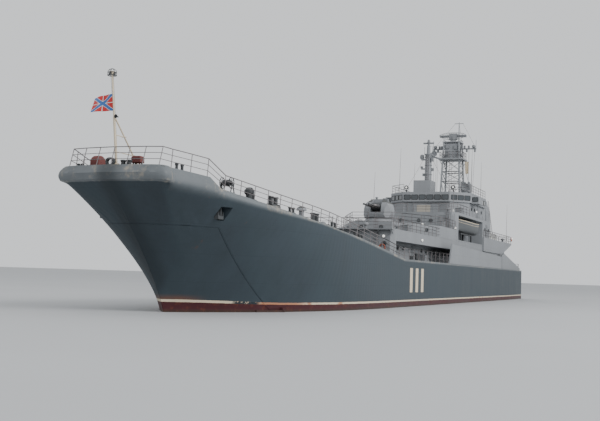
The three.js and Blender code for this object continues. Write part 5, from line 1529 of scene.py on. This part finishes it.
def build_rigging():
    """Stays and halyards between the masts and the roofs, and whip aerials on insulators."""
    runs = [
        ((FORE_X, FORE_Y, 20.25), (-33.3, -0.2, 21.5), 0.35), ((FORE_X, FORE_Y, 21.4), (-33.6, -0.6, 23.85), 0.25),
        ((-21.0, -0.4, 20.2), (-19.95, -3.1, 14.9), 0.02), ((-21.0, 0.1, 20.2), (-19.95, 3.1, 14.9), 0.02),
        ((-36.0, -0.6, 23.8), (-39.8, -2.2, 15.2), 0.1), ((-36.0, 0.6, 23.8), (-39.8, 2.2, 15.2), 0.1),
        ((MAST_X, -2.9, 22.8), (-34.6, -3.0, 14.95), 0), ((MAST_X, -2.5, 22.8), (-34.6, -2.7, 14.95), 0),
        ((MAST_X, 3.4, 22.8), (-34.6, 3.1, 14.95), 0), ((MAST_X, 3.0, 22.8), (-34.6, 2.9, 14.95), 0),
        ((-37.3, -0.3, 27.2), (MAST_X, -3.0, 22.95), 0), ((-37.3, 0.9, 27.2), (MAST_X, 3.5, 22.95), 0),
        ((-37.3, 0.3, 27.3), (-55.85, 0, 9.2), 1.1),
    ]
    make("stays", join([wire(start, end, sag, 0.016) for start, end, sag in runs]), "dark")
    whips = [(-20.6, -4.1, BRIDGE_TOP, 6.3), *two_sided(
        (-31.4, 5.1, BRIDGE_TOP, 5.5), (-35.9, 2.7, BRIDGE_TOP, 6.5), (-49.3, 5.7, AFT_DECK, 6.5),
        (-13.2, 5.4, HOUSE2_TOP, 5.5))]
    rods = [tube([(x, y, z + 0.4), (x - 0.05, y, z + tall * 0.5), (x - 0.3, y, z + tall)],
                 (0.035, 0.025, 0.012), 6) for x, y, z, tall in whips]
    post = lathe([(0.14, 0), (0.08, 0.05), (0.13, 0.12), (0.08, 0.18), (0.12, 0.25), (0.07, 0.31), (0.05, 0.5)],
                 (0, 0, 0), 14)
    make("whip_aerials", join(rods), "rail")
    make("aerial_insulators", copies(post, [whip[:3] for whip in whips]), "white")


def build_house_details():
    """Fore gallery, wall panels, pipes, louvres, funnel pipes and searchlights."""
    under = HOUSE1_TOP - 0.14
    bracket = prism([(15.08, HOUSE1_TOP - 0.6), (15.7, under), (15.08, under)], 1, -0.03, 0.03)
    brackets = copies(bracket, [(0, y, 0) for y in (-6.1, -4.6, -2.4, 0, 2.4, 4.6, 6.1)])
    gallery = join([slab((15.1, -6.2, under), (15.75, 6.2, HOUSE1_TOP)), brackets])
    make("fore_gallery", gallery, "trim", bevel=0.01)
    rect = rounded(0.95, 0.75, 12)
    make("front_panel", relief(rect, (-20, -0.4, 12.3), 0, -0.01, 0.04), "panel", bevel=0.01)
    # Vertical stiffeners on the front walls and the sides
    ribs = [((-12, y), (GUN_DECK, 11.2)) for y in (-5.2, -3.5, -2.0, 2.0, 3.5, 5.2)]
    ribs += [((-20, y), (HOUSE2_TOP, 13.45)) for y in (-2.9, -1.75, 1.0, 1.9, 2.9)]
    ribs += [((15.1, y), (4.85, 7.2)) for y in (-2.2, -0.6, 0.6, 2.2)]
    stiff = bars([(*at, low) for at, (low, _) in ribs], [(*at, high) for at, (_, high) in ribs], 0.045, 6)
    sides = [((x, 5.5, HOUSE2_TOP), (x, 5.5, 13.4)) for x in (-24.4, -26.5, -29, -31)]
    sides += [((x, 5.8, HOUSE1_TOP), (x, 5.8, 8.9)) for x in (-38, -39.5, -42, -44)]
    walls = both(bars([start for start, _ in sides], [end for _, end in sides], 0.045, 6))
    pipes = both(bars([(14.2, 4.62, 6.35), (14.2, 4.62, 6.2), (-12, 5.9, 9.4)],
                      [(-37.5, 4.62, 6.35), (-37.5, 4.62, 6.2), (-12, 5.9, 11.3)], 0.045))
    make("wall_ribs", join([stiff, walls, pipes]), "house")
    # Louvred vents: middle, wall heading, half width, half height
    panels = [((-36.7, 1.0, 12.4), 180, 0.5, 0.6), ((-36.7, 1.0, 10.4), 180, 0.5, 0.5),
              ((10, 4.6, 5.7), 90, 0.5, 0.4), ((-5, 4.6, 5.7), 90, 0.5, 0.4), ((-16.5, 4.6, 5.7), 90, 0.5, 0.4)]
    parts = []
    for at, facing, half, tall in panels:
        outer, inner = rounded(half + 0.06, tall + 0.06, 12, 20), rounded(half, tall, 12, 20)
        parts.append(rim(outer, inner, at, facing, -0.01, 0.08))
        slats = np.linspace(-tall + 0.06, tall - 0.06, max(3, round(tall * 12)))
        ends = beside(-half, slats)
        left, right = (wall_points(side, at, facing, 0.03) for side in (ends, ends * (-1, 1)))
        parts.append(bars(left, right, 0.035))
    make("louvres", both(join(parts)), "trim")
    # Funnel pipes
    exhausts = [lathe([(0.2, 0), (0.24, 0.02), (0.24, 1.25), (0.2, 1.28), (0.19, 1.0), (0.18, 0.1)],
                      (x, y, 14.2), 16) for x in (-39.0, -38.6) for y in (2.5, 3.05, 3.5)]
    make("exhaust_pipes", both(join(exhausts)), "black")
    # Searchlights: yoke, drum and glass
    x, y, low, axis = -21.6, 3.35, 15.3, 15.65
    drum = join([
        lathe([(0.1, 0), (0.1, 0.35), (0.16, 0.4)], (x, y, BRIDGE_TOP), 12),
        bars([(x, y - 0.32, low), (x, y + 0.32, low), (x, y - 0.32, low)],
             [(x, y - 0.32, axis), (x, y + 0.32, axis), (x, y + 0.32, low)], 0.03),
        lathe([(0.05, -0.25), (0.22, -0.2), (0.28, 0.1), (0.29, 0.2), (0.26, 0.2)], (x, y, axis), 20, 0),
    ])
    lens = lathe([(0.02, 0.17), (0.26, 0.15), (0.26, 0.19), (0.02, 0.21)], (x, y, axis), 20, 0)
    make("searchlights", both(drum), "dark")
    make("searchlight_glass", both(lens), "lamp")


def build_boats():
    """Two ship's boats with a round bilge. The half width follows a power of the distance from the widest
    frame, and each section is a quarter turn from the keel to the gunwale, squared off by a power."""
    aft, length, widest = -25.45, 9.85, 0.42
    share = np.linspace(0, 1, 31)
    fore = np.clip((share - widest) / (1 - widest), 0, 1)
    rear = np.clip((widest - share) / widest, 0, 1)
    half = np.maximum(1 - fore ** 2.4, 0) * (1 - 0.28 * rear ** 2)
    x = aft + length * share
    keel = 9.12 + 0.35 * fore ** 3
    top = 10.55 + 0.22 * (2 * share - 0.9) ** 2
    angle = np.linspace(0, math.pi / 2, 9)
    across = half[:, None] * np.sin(angle) ** 0.75
    up = keel[:, None] + (top - keel)[:, None] * (1 - np.cos(angle) ** 0.9)
    port = beside(x[:, None], across, up)
    skin = np.concatenate([port[:, ::-1] * (1, -1, 1), port[:, 1:]], axis=1)
    hull = grid(skin, wrap=True, caps=True)
    gunwale = beside(x, half, top)
    strake = [tube(gunwale, 0.055, 6), tube(gunwale * (1, -1, 1), 0.055, 6),
              tube(beside(x, half * 0.99, top - 0.32), 0.03, 5),
              tube(beside(x, -half * 0.99, top - 0.32), 0.03, 5)]
    cover_across = np.linspace(-1, 1, 13)
    for name, side in SIDES:
        shift = np.array((0, side * BOAT_Y, 0))
        make(f"boat_{name}_hull", (hull[0] + shift, hull[1]), "boat", replaced=[f"boat_{name}"])
        points, faces = join(strake)
        make(f"boat_{name}_strakes", (points + shift, faces), "buff")
        inner = slice(1, 29)
        ridge = 0.28 * np.sin(np.pi * np.clip((share[inner] - 0.02) / 0.9, 0, 1)) ** 0.6
        peak = top[inner, None] + 0.05 + ridge[:, None] * (1 - np.abs(cover_across) ** 1.6)
        cloth = beside(x[inner, None], (half[inner, None] + 0.03) * cover_across, peak) + shift
        cloth_sheet(f"boat_{name}_cover", cloth, "grey_canvas")
        falls = [wire((fx, side * BOAT_Y, 10.9), (fx, side * BOAT_Y, 10.6), 0, 0.03) for fx in (-23.7, -17.5)]
        blocks = [slab((fx - 0.09, side * BOAT_Y - 0.06, 10.7), (fx + 0.09, side * BOAT_Y + 0.06, 10.95))
                  for fx in (-23.7, -17.5)]
        make(f"boat_{name}_falls", join(falls + blocks), "dark")


def build_rafts():
    """Bands, end rims and lashings of the life raft canisters."""
    bands, straps = [], []
    for x in (-38.2, -36.3, -34.4):
        centre = (x, 5.75, AFT_DECK + 0.65)
        bands += [torus((x + shift, *centre[1:]), 0.365, 0.022, 0, (24, 5)) for shift in (-0.62, -0.02, 0.02, 0.62)]
        straps += [torus((x + shift, *centre[1:]), 0.37, 0.03, 0, (24, 5)) for shift in (-0.35, 0.35)]
    make("raft_bands", both(join(bands)), "white")
    make("raft_straps", both(join(straps)), "black")


def build_running_gear():
    """Propellers with four twisted blades: at each radius a lens section lies along the pitch angle, wound
    round the shaft by its distance along the arc. Zinc blocks sit on the bottom."""
    radii = np.linspace(0.14, 0.88, 12)
    share = (radii - radii[0]) / (radii[-1] - radii[0])
    chord = 0.66 * np.sqrt(np.clip(1 - (1.12 * share - 0.5) ** 2 / 0.42, 0.004, 1))
    about = np.arange(14) * 2 * math.pi / 14
    along_chord = np.cos(about) * 0.5 * chord[:, None]
    thick = np.sin(about) * (0.045 - 0.033 * share[:, None])
    pitch = np.arctan2(1.5, 2 * math.pi * radii)[:, None]
    for name, side in SIDES:
        ahead = along_chord * np.sin(pitch) + thick * np.cos(pitch)
        round_arc = (along_chord * np.cos(pitch) - thick * np.sin(pitch)) * side
        parts = [lathe([(0.05, -0.45), (0.13, -0.36), (0.18, -0.2), (0.2, 0.1), (0.19, 0.25), (0.05, 0.25)],
                       (-51.5, side * 3.2, -2.72), 24, 0)]
        for blade in range(4):
            angle = round_arc / radii[:, None] + blade * math.pi / 2 + math.pi / 4
            points = beside(ahead, radii[:, None] * np.cos(angle), radii[:, None] * np.sin(angle))
            parts.append(grid(points + (-51.5, side * 3.2, -2.72), wrap=True, caps=True))
        node = f"propeller_{name}"
        make(f"{node}_blades", join(parts), "bronze", body_of(node), [node], smooth=50)
    zinc = slab((-0.4, -0.06, -0.05), (0.4, 0.06, 0.05))
    places = [(x, 2.0, float(keel_z(np.array(x))) - 0.03) for x in (-44, -38, -30, -20, -10, 0, 10, 20)]
    make("zinc_blocks", both(copies(zinc, places)), "steel", bevel=0.01)


# Cloth

def cloth_sheet(name, surface, finish, flat=None):
    """Thin cloth over an (n, m) grid of points in ship metres. Unless its flat width and length are given, they
    are the longest row and column of the grid, and the area is the sum of its triangles."""
    surface = np.asarray(surface, float)
    points, (quads,) = grid(surface)
    mesh = new_mesh(name, points, [quads])
    rows, columns = surface.shape[:2]
    share = np.meshgrid(np.linspace(0, 1, rows), np.linspace(0, 1, columns), indexing="ij")
    spread = np.stack(share, axis=-1).reshape(-1, 2)
    mesh.uv_layers.new(name="UVMap").data.foreach_set("uv", spread[quads.ravel()].ravel())
    piece = adopt(name, mesh, finish, smooth=180)
    thick = piece.modifiers.new("Thickness", "SOLIDIFY")
    thick.thickness = 0.0005
    area = None
    if flat is None:
        flat = [float(np.linalg.norm(np.diff(surface, axis=axis), axis=2).sum(axis=axis).max()) for axis in (1, 0)]
        corners = points[quads]
        cross = np.cross(corners[:, 2] - corners[:, 0], corners[:, 3] - corners[:, 1])
        area = float(np.linalg.norm(cross, axis=1).sum() / 2) / MODEL_SCALE ** 2
        area = min(area, flat[0] * flat[1] / MODEL_SCALE ** 2)
    return piece


def build_jack():
    """Jack flying to starboard from the leaning staff. Waves run along the fly and grow towards its end, and the
    cloth is drawn in by their slope so that its length stays true. The fly end droops and leans a little."""
    length, height, low = 1.6, 1.05, 12.85
    run = np.linspace(0, length, 49)
    slope = 0.34 * np.cos(2 * math.pi * run / 0.95 + 0.6) * np.clip(run / 0.5, 0, 1)
    step = run[1] - run[0]
    out = np.concatenate([[0], (np.sqrt(1 - slope[1:] ** 2 - 0.012) * step).cumsum()])
    wave = np.concatenate([[0], (slope[1:] * step).cumsum()])
    droop = 0.11 * (run / length) ** 1.5
    lean = -math.radians(24) * (run / length) ** 1.3
    up = np.linspace(0, height, 29)[None, :]
    hoist = jackstaff_at(low + up)
    x = hoist[..., 0] * (1 - run[:, None] / length) + jackstaff_at(low + height / 2)[0] * run[:, None] / length
    x = x + wave[:, None] + (up - height / 2) * np.sin(lean)[:, None]
    z = low + height / 2 + (up - height / 2) * np.cos(lean)[:, None] - droop[:, None]
    surface = beside(x, -0.063 - out[:, None], z)
    cloth_sheet("jack", surface, "jack", (height, length))
    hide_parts("jack_flag")


def build_signal_flag():
    """Signal flag hanging by its halyard, in upright folds that deepen towards its foot."""
    width, height = 0.62, 1.86
    run = np.linspace(0, width, 25)[:, None]
    down = np.linspace(0, height, 41)[None, :]
    depth = 0.03 + 0.045 * down / height
    fold = depth * np.sin(2 * math.pi * run / 0.3 + 0.5 * down)
    slope = depth * 2 * math.pi / 0.3 * np.cos(2 * math.pi * run / 0.3 + 0.5 * down)
    step = run[1, 0] / np.sqrt(1 + slope ** 2)
    out = np.concatenate([np.zeros((1, 41)), step[1:].cumsum(axis=0)])
    surface = beside(MAST_X + fold, 2.447 - out, 20.86 - down)
    cloth_sheet("signal_cloth", surface, "signal", (height, width))
    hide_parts("signal_flag")


def build_covers():
    """Canvas hoods over the cable reel and the locker. Each profile runs up one side, over the top and down the
    other; the end flaps fall straight from its ends, and soft pleats grow towards the hems."""
    reel_foot = top_of("cable_reel", 53.9, -2.25) - 0.84
    chest_foot = top_of("locker", 54.2, 1) - 0.7
    arc = np.linspace(0, math.pi, 21)
    # Name, middle, foot, half width, hem, reach and rise of the sides, rise of the arch, node underneath
    for name, (x, y), foot, half, hem, reach, side, arch, node in (
        ("reel_cover", (53.9, -2.25), reel_foot, 0.33, 0.1, 0.4, 0.5, 0.4, "cable_reel"),
        ("locker_cover", (54.2, 1), chest_foot, 0.34, 0.3, 0.24, 0.68, 0.07, "locker"),
    ):
        rise = np.linspace(hem, side, 9)[:-1]
        flat = np.sign(np.cos(arc)) * np.abs(np.cos(arc)) ** (0.35 if arch < 0.1 else 1)
        out = np.concatenate([np.full(8, reach), reach * flat, np.full(8, -reach)])[:, None]
        height = np.concatenate([rise, side + arch * np.sin(arc), rise[::-1]])[:, None]
        share = np.concatenate([np.linspace(-1.5, -1, 8), np.linspace(-1, 1, 33)[1:-1], np.linspace(1, 1.5, 8)])
        fall = np.clip(np.abs(share) - 1, 0, 0.5)[None, :] * 2
        across = np.clip(share, -1, 1)[None, :]
        dropped = hem + (height - hem) * (1 - 0.1 * across ** 6) * (1 - fall)
        hang = np.clip((side - dropped) / side, 0, 1)
        pleat = 0.02 * hang * np.sin(across * 17 + 2 * np.sign(out))
        bulge = np.sign(across) * 0.02 * np.sin(math.pi * fall) * np.cos(math.pi * out / reach / 2)
        ahead = x + out * (1 + 0.05 * hang) + pleat * np.sign(out)
        surface = beside(ahead, y + half * across + bulge, foot + dropped)
        cloth_sheet(name, surface, "canvas")


def build_lamps():
    """Caged lamps on the walls and the aft rail."""
    circle = ring(14)

    def lamps(*places):
        glass = [relief(circle * size, at, facing, low, high) for at, facing in places
                 for size, low, high in ((0.13, 0.04, 0.16), (0.09, 0.15, 0.2))]
        cages = [rim(circle * 0.18, circle * 0.13, at, facing, -0.02, 0.06) for at, facing in places]
        return join(glass), join(cages)

    paired = lamps(((15.1, 5.15, 7.03), 0), ((-12, 1.73, 9.88), 0), ((4.81, 6.2, 7.1), 90),
                   ((-26.33, 5.5, 12.55), 90))
    single = lamps(((-12.35, 5.85, 9.46), 45), ((-49.9, 6.42, 9.9), 90))
    make("wall_lamps", join([both(paired[0]), single[0]]), "lamp")
    make("lamp_rims", join([both(paired[1]), single[1]]), "trim")


# Settings

class ShipSizes(bpy.types.PropertyGroup):
    """Sizes of the fittings, in metres of the full-size ship"""

    rail_height: bpy.props.FloatProperty(
        name="Rail height", description="Height of the deck railing", default=1.1, unit="LENGTH")
    post_spacing: bpy.props.FloatProperty(
        name="Post spacing", description="Distance between railing posts", default=1.7, unit="LENGTH")
    post_radius: bpy.props.FloatProperty(
        name="Post radius", description="Radius of the railing posts", default=0.03, unit="LENGTH")
    rail_radius: bpy.props.FloatProperty(
        name="Rail radius", description="Radius of the rails", default=0.022, unit="LENGTH")


class ShipColours(bpy.types.PropertyGroup):
    """Paint and cloth colours"""

    hull: bpy.props.FloatVectorProperty(
        name="Hull", description="Hull side paint", default=(0.036, 0.051, 0.062), subtype="COLOR")
    house: bpy.props.FloatVectorProperty(
        name="Superstructure", description="Deckhouse and mast paint", default=(0.24, 0.252, 0.267),
        subtype="COLOR")
    # The band colour is a painted highlight, lighter than the hull paint where the upper strake faces the sky
    band: bpy.props.FloatVectorProperty(
        name="Band", description="Pale band round the forecastle", default=(0.145, 0.16, 0.17), subtype="COLOR")
    deck: bpy.props.FloatVectorProperty(
        name="Deck", description="Deck paint", default=(0.085, 0.088, 0.085), subtype="COLOR")
    stripe: bpy.props.FloatVectorProperty(
        name="Stripe", description="Cream waterline stripe and staff paint", default=(0.68, 0.58, 0.43),
        subtype="COLOR")
    bottom: bpy.props.FloatVectorProperty(
        name="Bottom", description="Underwater paint", default=(0.058, 0.014, 0.018), subtype="COLOR")
    gear: bpy.props.FloatVectorProperty(
        name="Deck gear", description="Winches, bollards and guns", default=(0.05, 0.054, 0.058), subtype="COLOR")
    rail: bpy.props.FloatVectorProperty(
        name="Railings", description="Railing paint", default=(0.16, 0.145, 0.148), subtype="COLOR")
    canvas: bpy.props.FloatVectorProperty(
        name="Canvas", description="Covers of the reel and locker", default=(0.16, 0.05, 0.045), subtype="COLOR")


class StageSettings(bpy.types.PropertyGroup):
    """Camera, floor and light, in frame metres"""

    eye: bpy.props.FloatVectorProperty(
        name="Camera place", description="Where the camera stands", default=(10.451, 3.361, 0.656), unit="LENGTH")
    heading: bpy.props.FloatProperty(
        name="Heading", description="Camera turn from looking aft, towards starboard", default=22.88)
    pitch: bpy.props.FloatProperty(name="Pitch", description="Camera tilt above the level", default=3.97)
    roll: bpy.props.FloatProperty(name="Roll", description="Camera lean to the left", default=1.79)
    lens: bpy.props.FloatProperty(name="Lens", description="Focal length in millimetres", default=55.64)
    floor_radius: bpy.props.FloatProperty(
        name="Floor radius", description="Radius of the round floor", default=220.0, unit="LENGTH")


def build_camera(stage):
    """Camera that looks along its heading and pitch. Its axes are the look direction, the level right-hand
    direction and their cross product, turned together by the roll."""
    heading, pitch, roll = (math.radians(value) for value in (stage.heading, stage.pitch, stage.roll))
    look = Vector((-math.cos(heading) * math.cos(pitch), -math.sin(heading) * math.cos(pitch), math.sin(pitch)))
    level = look.cross(Vector((0, 0, 1))).normalized()
    upright = level.cross(look)
    right = math.cos(roll) * level + math.sin(roll) * upright
    up = math.cos(roll) * upright - math.sin(roll) * level
    data = bpy.data.cameras.new("Camera")
    data.lens = stage.lens
    data.sensor_width = 36
    data.clip_end = 1000
    camera = new_object("Camera", data)
    axes = Matrix((right, up, -look)).transposed().to_4x4()
    camera.matrix_world = Matrix.Translation(stage.eye) @ axes
    bpy.context.scene.camera = camera


def build_stage(stage):
    """Round pale floor at the waterline, a pale even sky and two large soft lights."""
    circle = ring(96) * stage.floor_radius
    points = np.concatenate([circle, np.full((96, 1), WATERLINE)], axis=1)
    mesh = bpy.data.meshes.new("floor")
    mesh.from_pydata(points.tolist(), [], [list(range(96))])
    floor = new_object("floor", mesh)
    material, tree, shader = start_material("floor_paint")
    mottled = blend(noise(coordinate(tree), 0.4, 3.0), (0.44, 0.45, 0.46, 1), (0.5, 0.51, 0.52, 1))
    tree.links.new(mottled.socket, shader.inputs["Base Color"])
    shader.inputs["Roughness"].default_value = 0.8
    mesh.materials.append(material)

    world = bpy.data.worlds.new("Studio")
    world.use_nodes = True
    background = world.node_tree.nodes["Background"]
    background.inputs["Color"].default_value = (0.86, 0.88, 0.9, 1)
    background.inputs["Strength"].default_value = 1.05
    bpy.context.scene.world = world
    # Lights: name, place, size, watts
    for name, at, size, watts in (
        ("Key", (5.5, 14.5, 9.0), 9.0, 2150.0), ("Fill", (10.0, -9.0, 9.0), 10.0, 100.0),
    ):
        data = bpy.data.lights.new(name, "AREA")
        data.size = size
        data.energy = watts
        light = new_object(name, data)
        light.location = at
        light.rotation_mode = "QUATERNION"
        light.rotation_quaternion = (Vector(at) - Vector((0, 0, 1))).to_track_quat("Z", "Y")


# Operators

class SHIP_OT_stage(bpy.types.Operator):
    """Camera, floor and light"""

    bl_idname = "ship.stage"
    bl_label = "Stage and camera"

    def execute(self, context):
        build_camera(context.scene.ship_stage)
        build_stage(context.scene.ship_stage)
        return {"FINISHED"}


class SHIP_OT_materials(bpy.types.Operator):
    """Paint, cloth, glass and metal finishes"""

    bl_idname = "ship.materials"
    bl_label = "Finishes"

    def execute(self, context):
        FINISHES.update(make_materials(context.scene.ship_colours))
        return {"FINISHED"}


class SHIP_OT_hull(bpy.types.Operator):
    """Hull shell and bow doors"""

    bl_idname = "ship.hull"
    bl_label = "Hull"

    def execute(self, context):
        build_hull()
        return {"FINISHED"}


class SHIP_OT_houses(bpy.types.Operator):
    """Deckhouses, bulwarks, funnels and other flat-walled pieces"""

    bl_idname = "ship.houses"
    bl_label = "Deckhouses"

    def execute(self, context):
        build_houses()
        return {"FINISHED"}


class SHIP_OT_round_nodes(bpy.types.Operator):
    """Round pieces of the frame with smooth faces"""

    bl_idname = "ship.round_nodes"
    bl_label = "Round pieces"

    def execute(self, context):
        build_round_nodes()
        return {"FINISHED"}


class SHIP_OT_rails(bpy.types.Operator):
    """Railings round the decks and the mast platform"""

    bl_idname = "ship.rails"
    bl_label = "Railings"

    def execute(self, context):
        build_rails(context.scene.ship_sizes)
        return {"FINISHED"}


class SHIP_OT_openings(bpy.types.Operator):
    """Doors, portholes, bridge windows and ladders"""

    bl_idname = "ship.openings"
    bl_label = "Doors and windows"

    def execute(self, context):
        build_openings()
        build_ladders()
        return {"FINISHED"}


class SHIP_OT_forecastle(bpy.types.Operator):
    """Anchor gear, deck fittings, wire reel and jackstaff"""

    bl_idname = "ship.forecastle"
    bl_label = "Forecastle"

    def execute(self, context):
        build_anchor_gear()
        build_deck_fittings()
        build_reel()
        build_jackstaff()
        return {"FINISHED"}


class SHIP_OT_guns(bpy.types.Operator):
    """Fittings of the turrets and guns"""

    bl_idname = "ship.guns"
    bl_label = "Guns"

    def execute(self, context):
        build_guns()
        return {"FINISHED"}


class SHIP_OT_masts(bpy.types.Operator):
    """Masts, radars, rigging and aerials"""

    bl_idname = "ship.masts"
    bl_label = "Masts and radars"

    def execute(self, context):
        build_masts(context.scene.ship_sizes)
        build_radars()
        build_rigging()
        return {"FINISHED"}


class SHIP_OT_house_details(bpy.types.Operator):
    """Gallery, ribs, louvres, funnel pipes, searchlights and lamps"""

    bl_idname = "ship.house_details"
    bl_label = "House details"

    def execute(self, context):
        build_house_details()
        build_lamps()
        return {"FINISHED"}


class SHIP_OT_boats(bpy.types.Operator):
    """Boats with their covers, and life rafts"""

    bl_idname = "ship.boats"
    bl_label = "Boats and rafts"

    def execute(self, context):
        build_boats()
        build_rafts()
        return {"FINISHED"}


class SHIP_OT_running_gear(bpy.types.Operator):
    """Propellers and zinc blocks"""

    bl_idname = "ship.running_gear"
    bl_label = "Running gear"

    def execute(self, context):
        build_running_gear()
        return {"FINISHED"}


class SHIP_OT_cloth(bpy.types.Operator):
    """Jack, signal flag and canvas covers"""

    bl_idname = "ship.cloth"
    bl_label = "Flags and covers"

    def execute(self, context):
        build_jack()
        build_signal_flag()
        build_covers()
        return {"FINISHED"}


OPERATORS = (
    SHIP_OT_stage, SHIP_OT_materials, SHIP_OT_hull, SHIP_OT_houses, SHIP_OT_round_nodes,
    SHIP_OT_rails, SHIP_OT_openings, SHIP_OT_forecastle, SHIP_OT_guns, SHIP_OT_masts, SHIP_OT_house_details,
    SHIP_OT_boats, SHIP_OT_running_gear, SHIP_OT_cloth,
)


class SHIP_PT_panel(bpy.types.Panel):
    """Lists the ship's sizes, colours and pieces"""

    bl_idname = "SHIP_PT_panel"
    bl_label = "Landing ship"
    bl_space_type = "VIEW_3D"
    bl_region_type = "UI"
    bl_category = "Ship"

    def draw(self, context):
        scene = context.scene
        for group in (scene.ship_sizes, scene.ship_colours, scene.ship_stage):
            box = self.layout.box()
            for name in group.__annotations__:
                box.prop(group, name)
        for operator in OPERATORS:
            self.layout.operator(operator.bl_idname)


CLASSES = (ShipSizes, ShipColours, StageSettings, *OPERATORS, SHIP_PT_panel)


def register():
    for item in CLASSES:
        bpy.utils.register_class(item)
    bpy.types.Scene.ship_sizes = bpy.props.PointerProperty(type=ShipSizes)
    bpy.types.Scene.ship_colours = bpy.props.PointerProperty(type=ShipColours)
    bpy.types.Scene.ship_stage = bpy.props.PointerProperty(type=StageSettings)


def unregister():
    for name in ("ship_sizes", "ship_colours", "ship_stage"):
        delattr(bpy.types.Scene, name)
    for item in reversed(CLASSES):
        bpy.utils.unregister_class(item)


def main():
    """Makes every piece in order."""
    register()
    for operator in OPERATORS:
        getattr(bpy.ops.ship, operator.bl_idname.split(".")[1])()


if __name__ == "__main__":
    main()
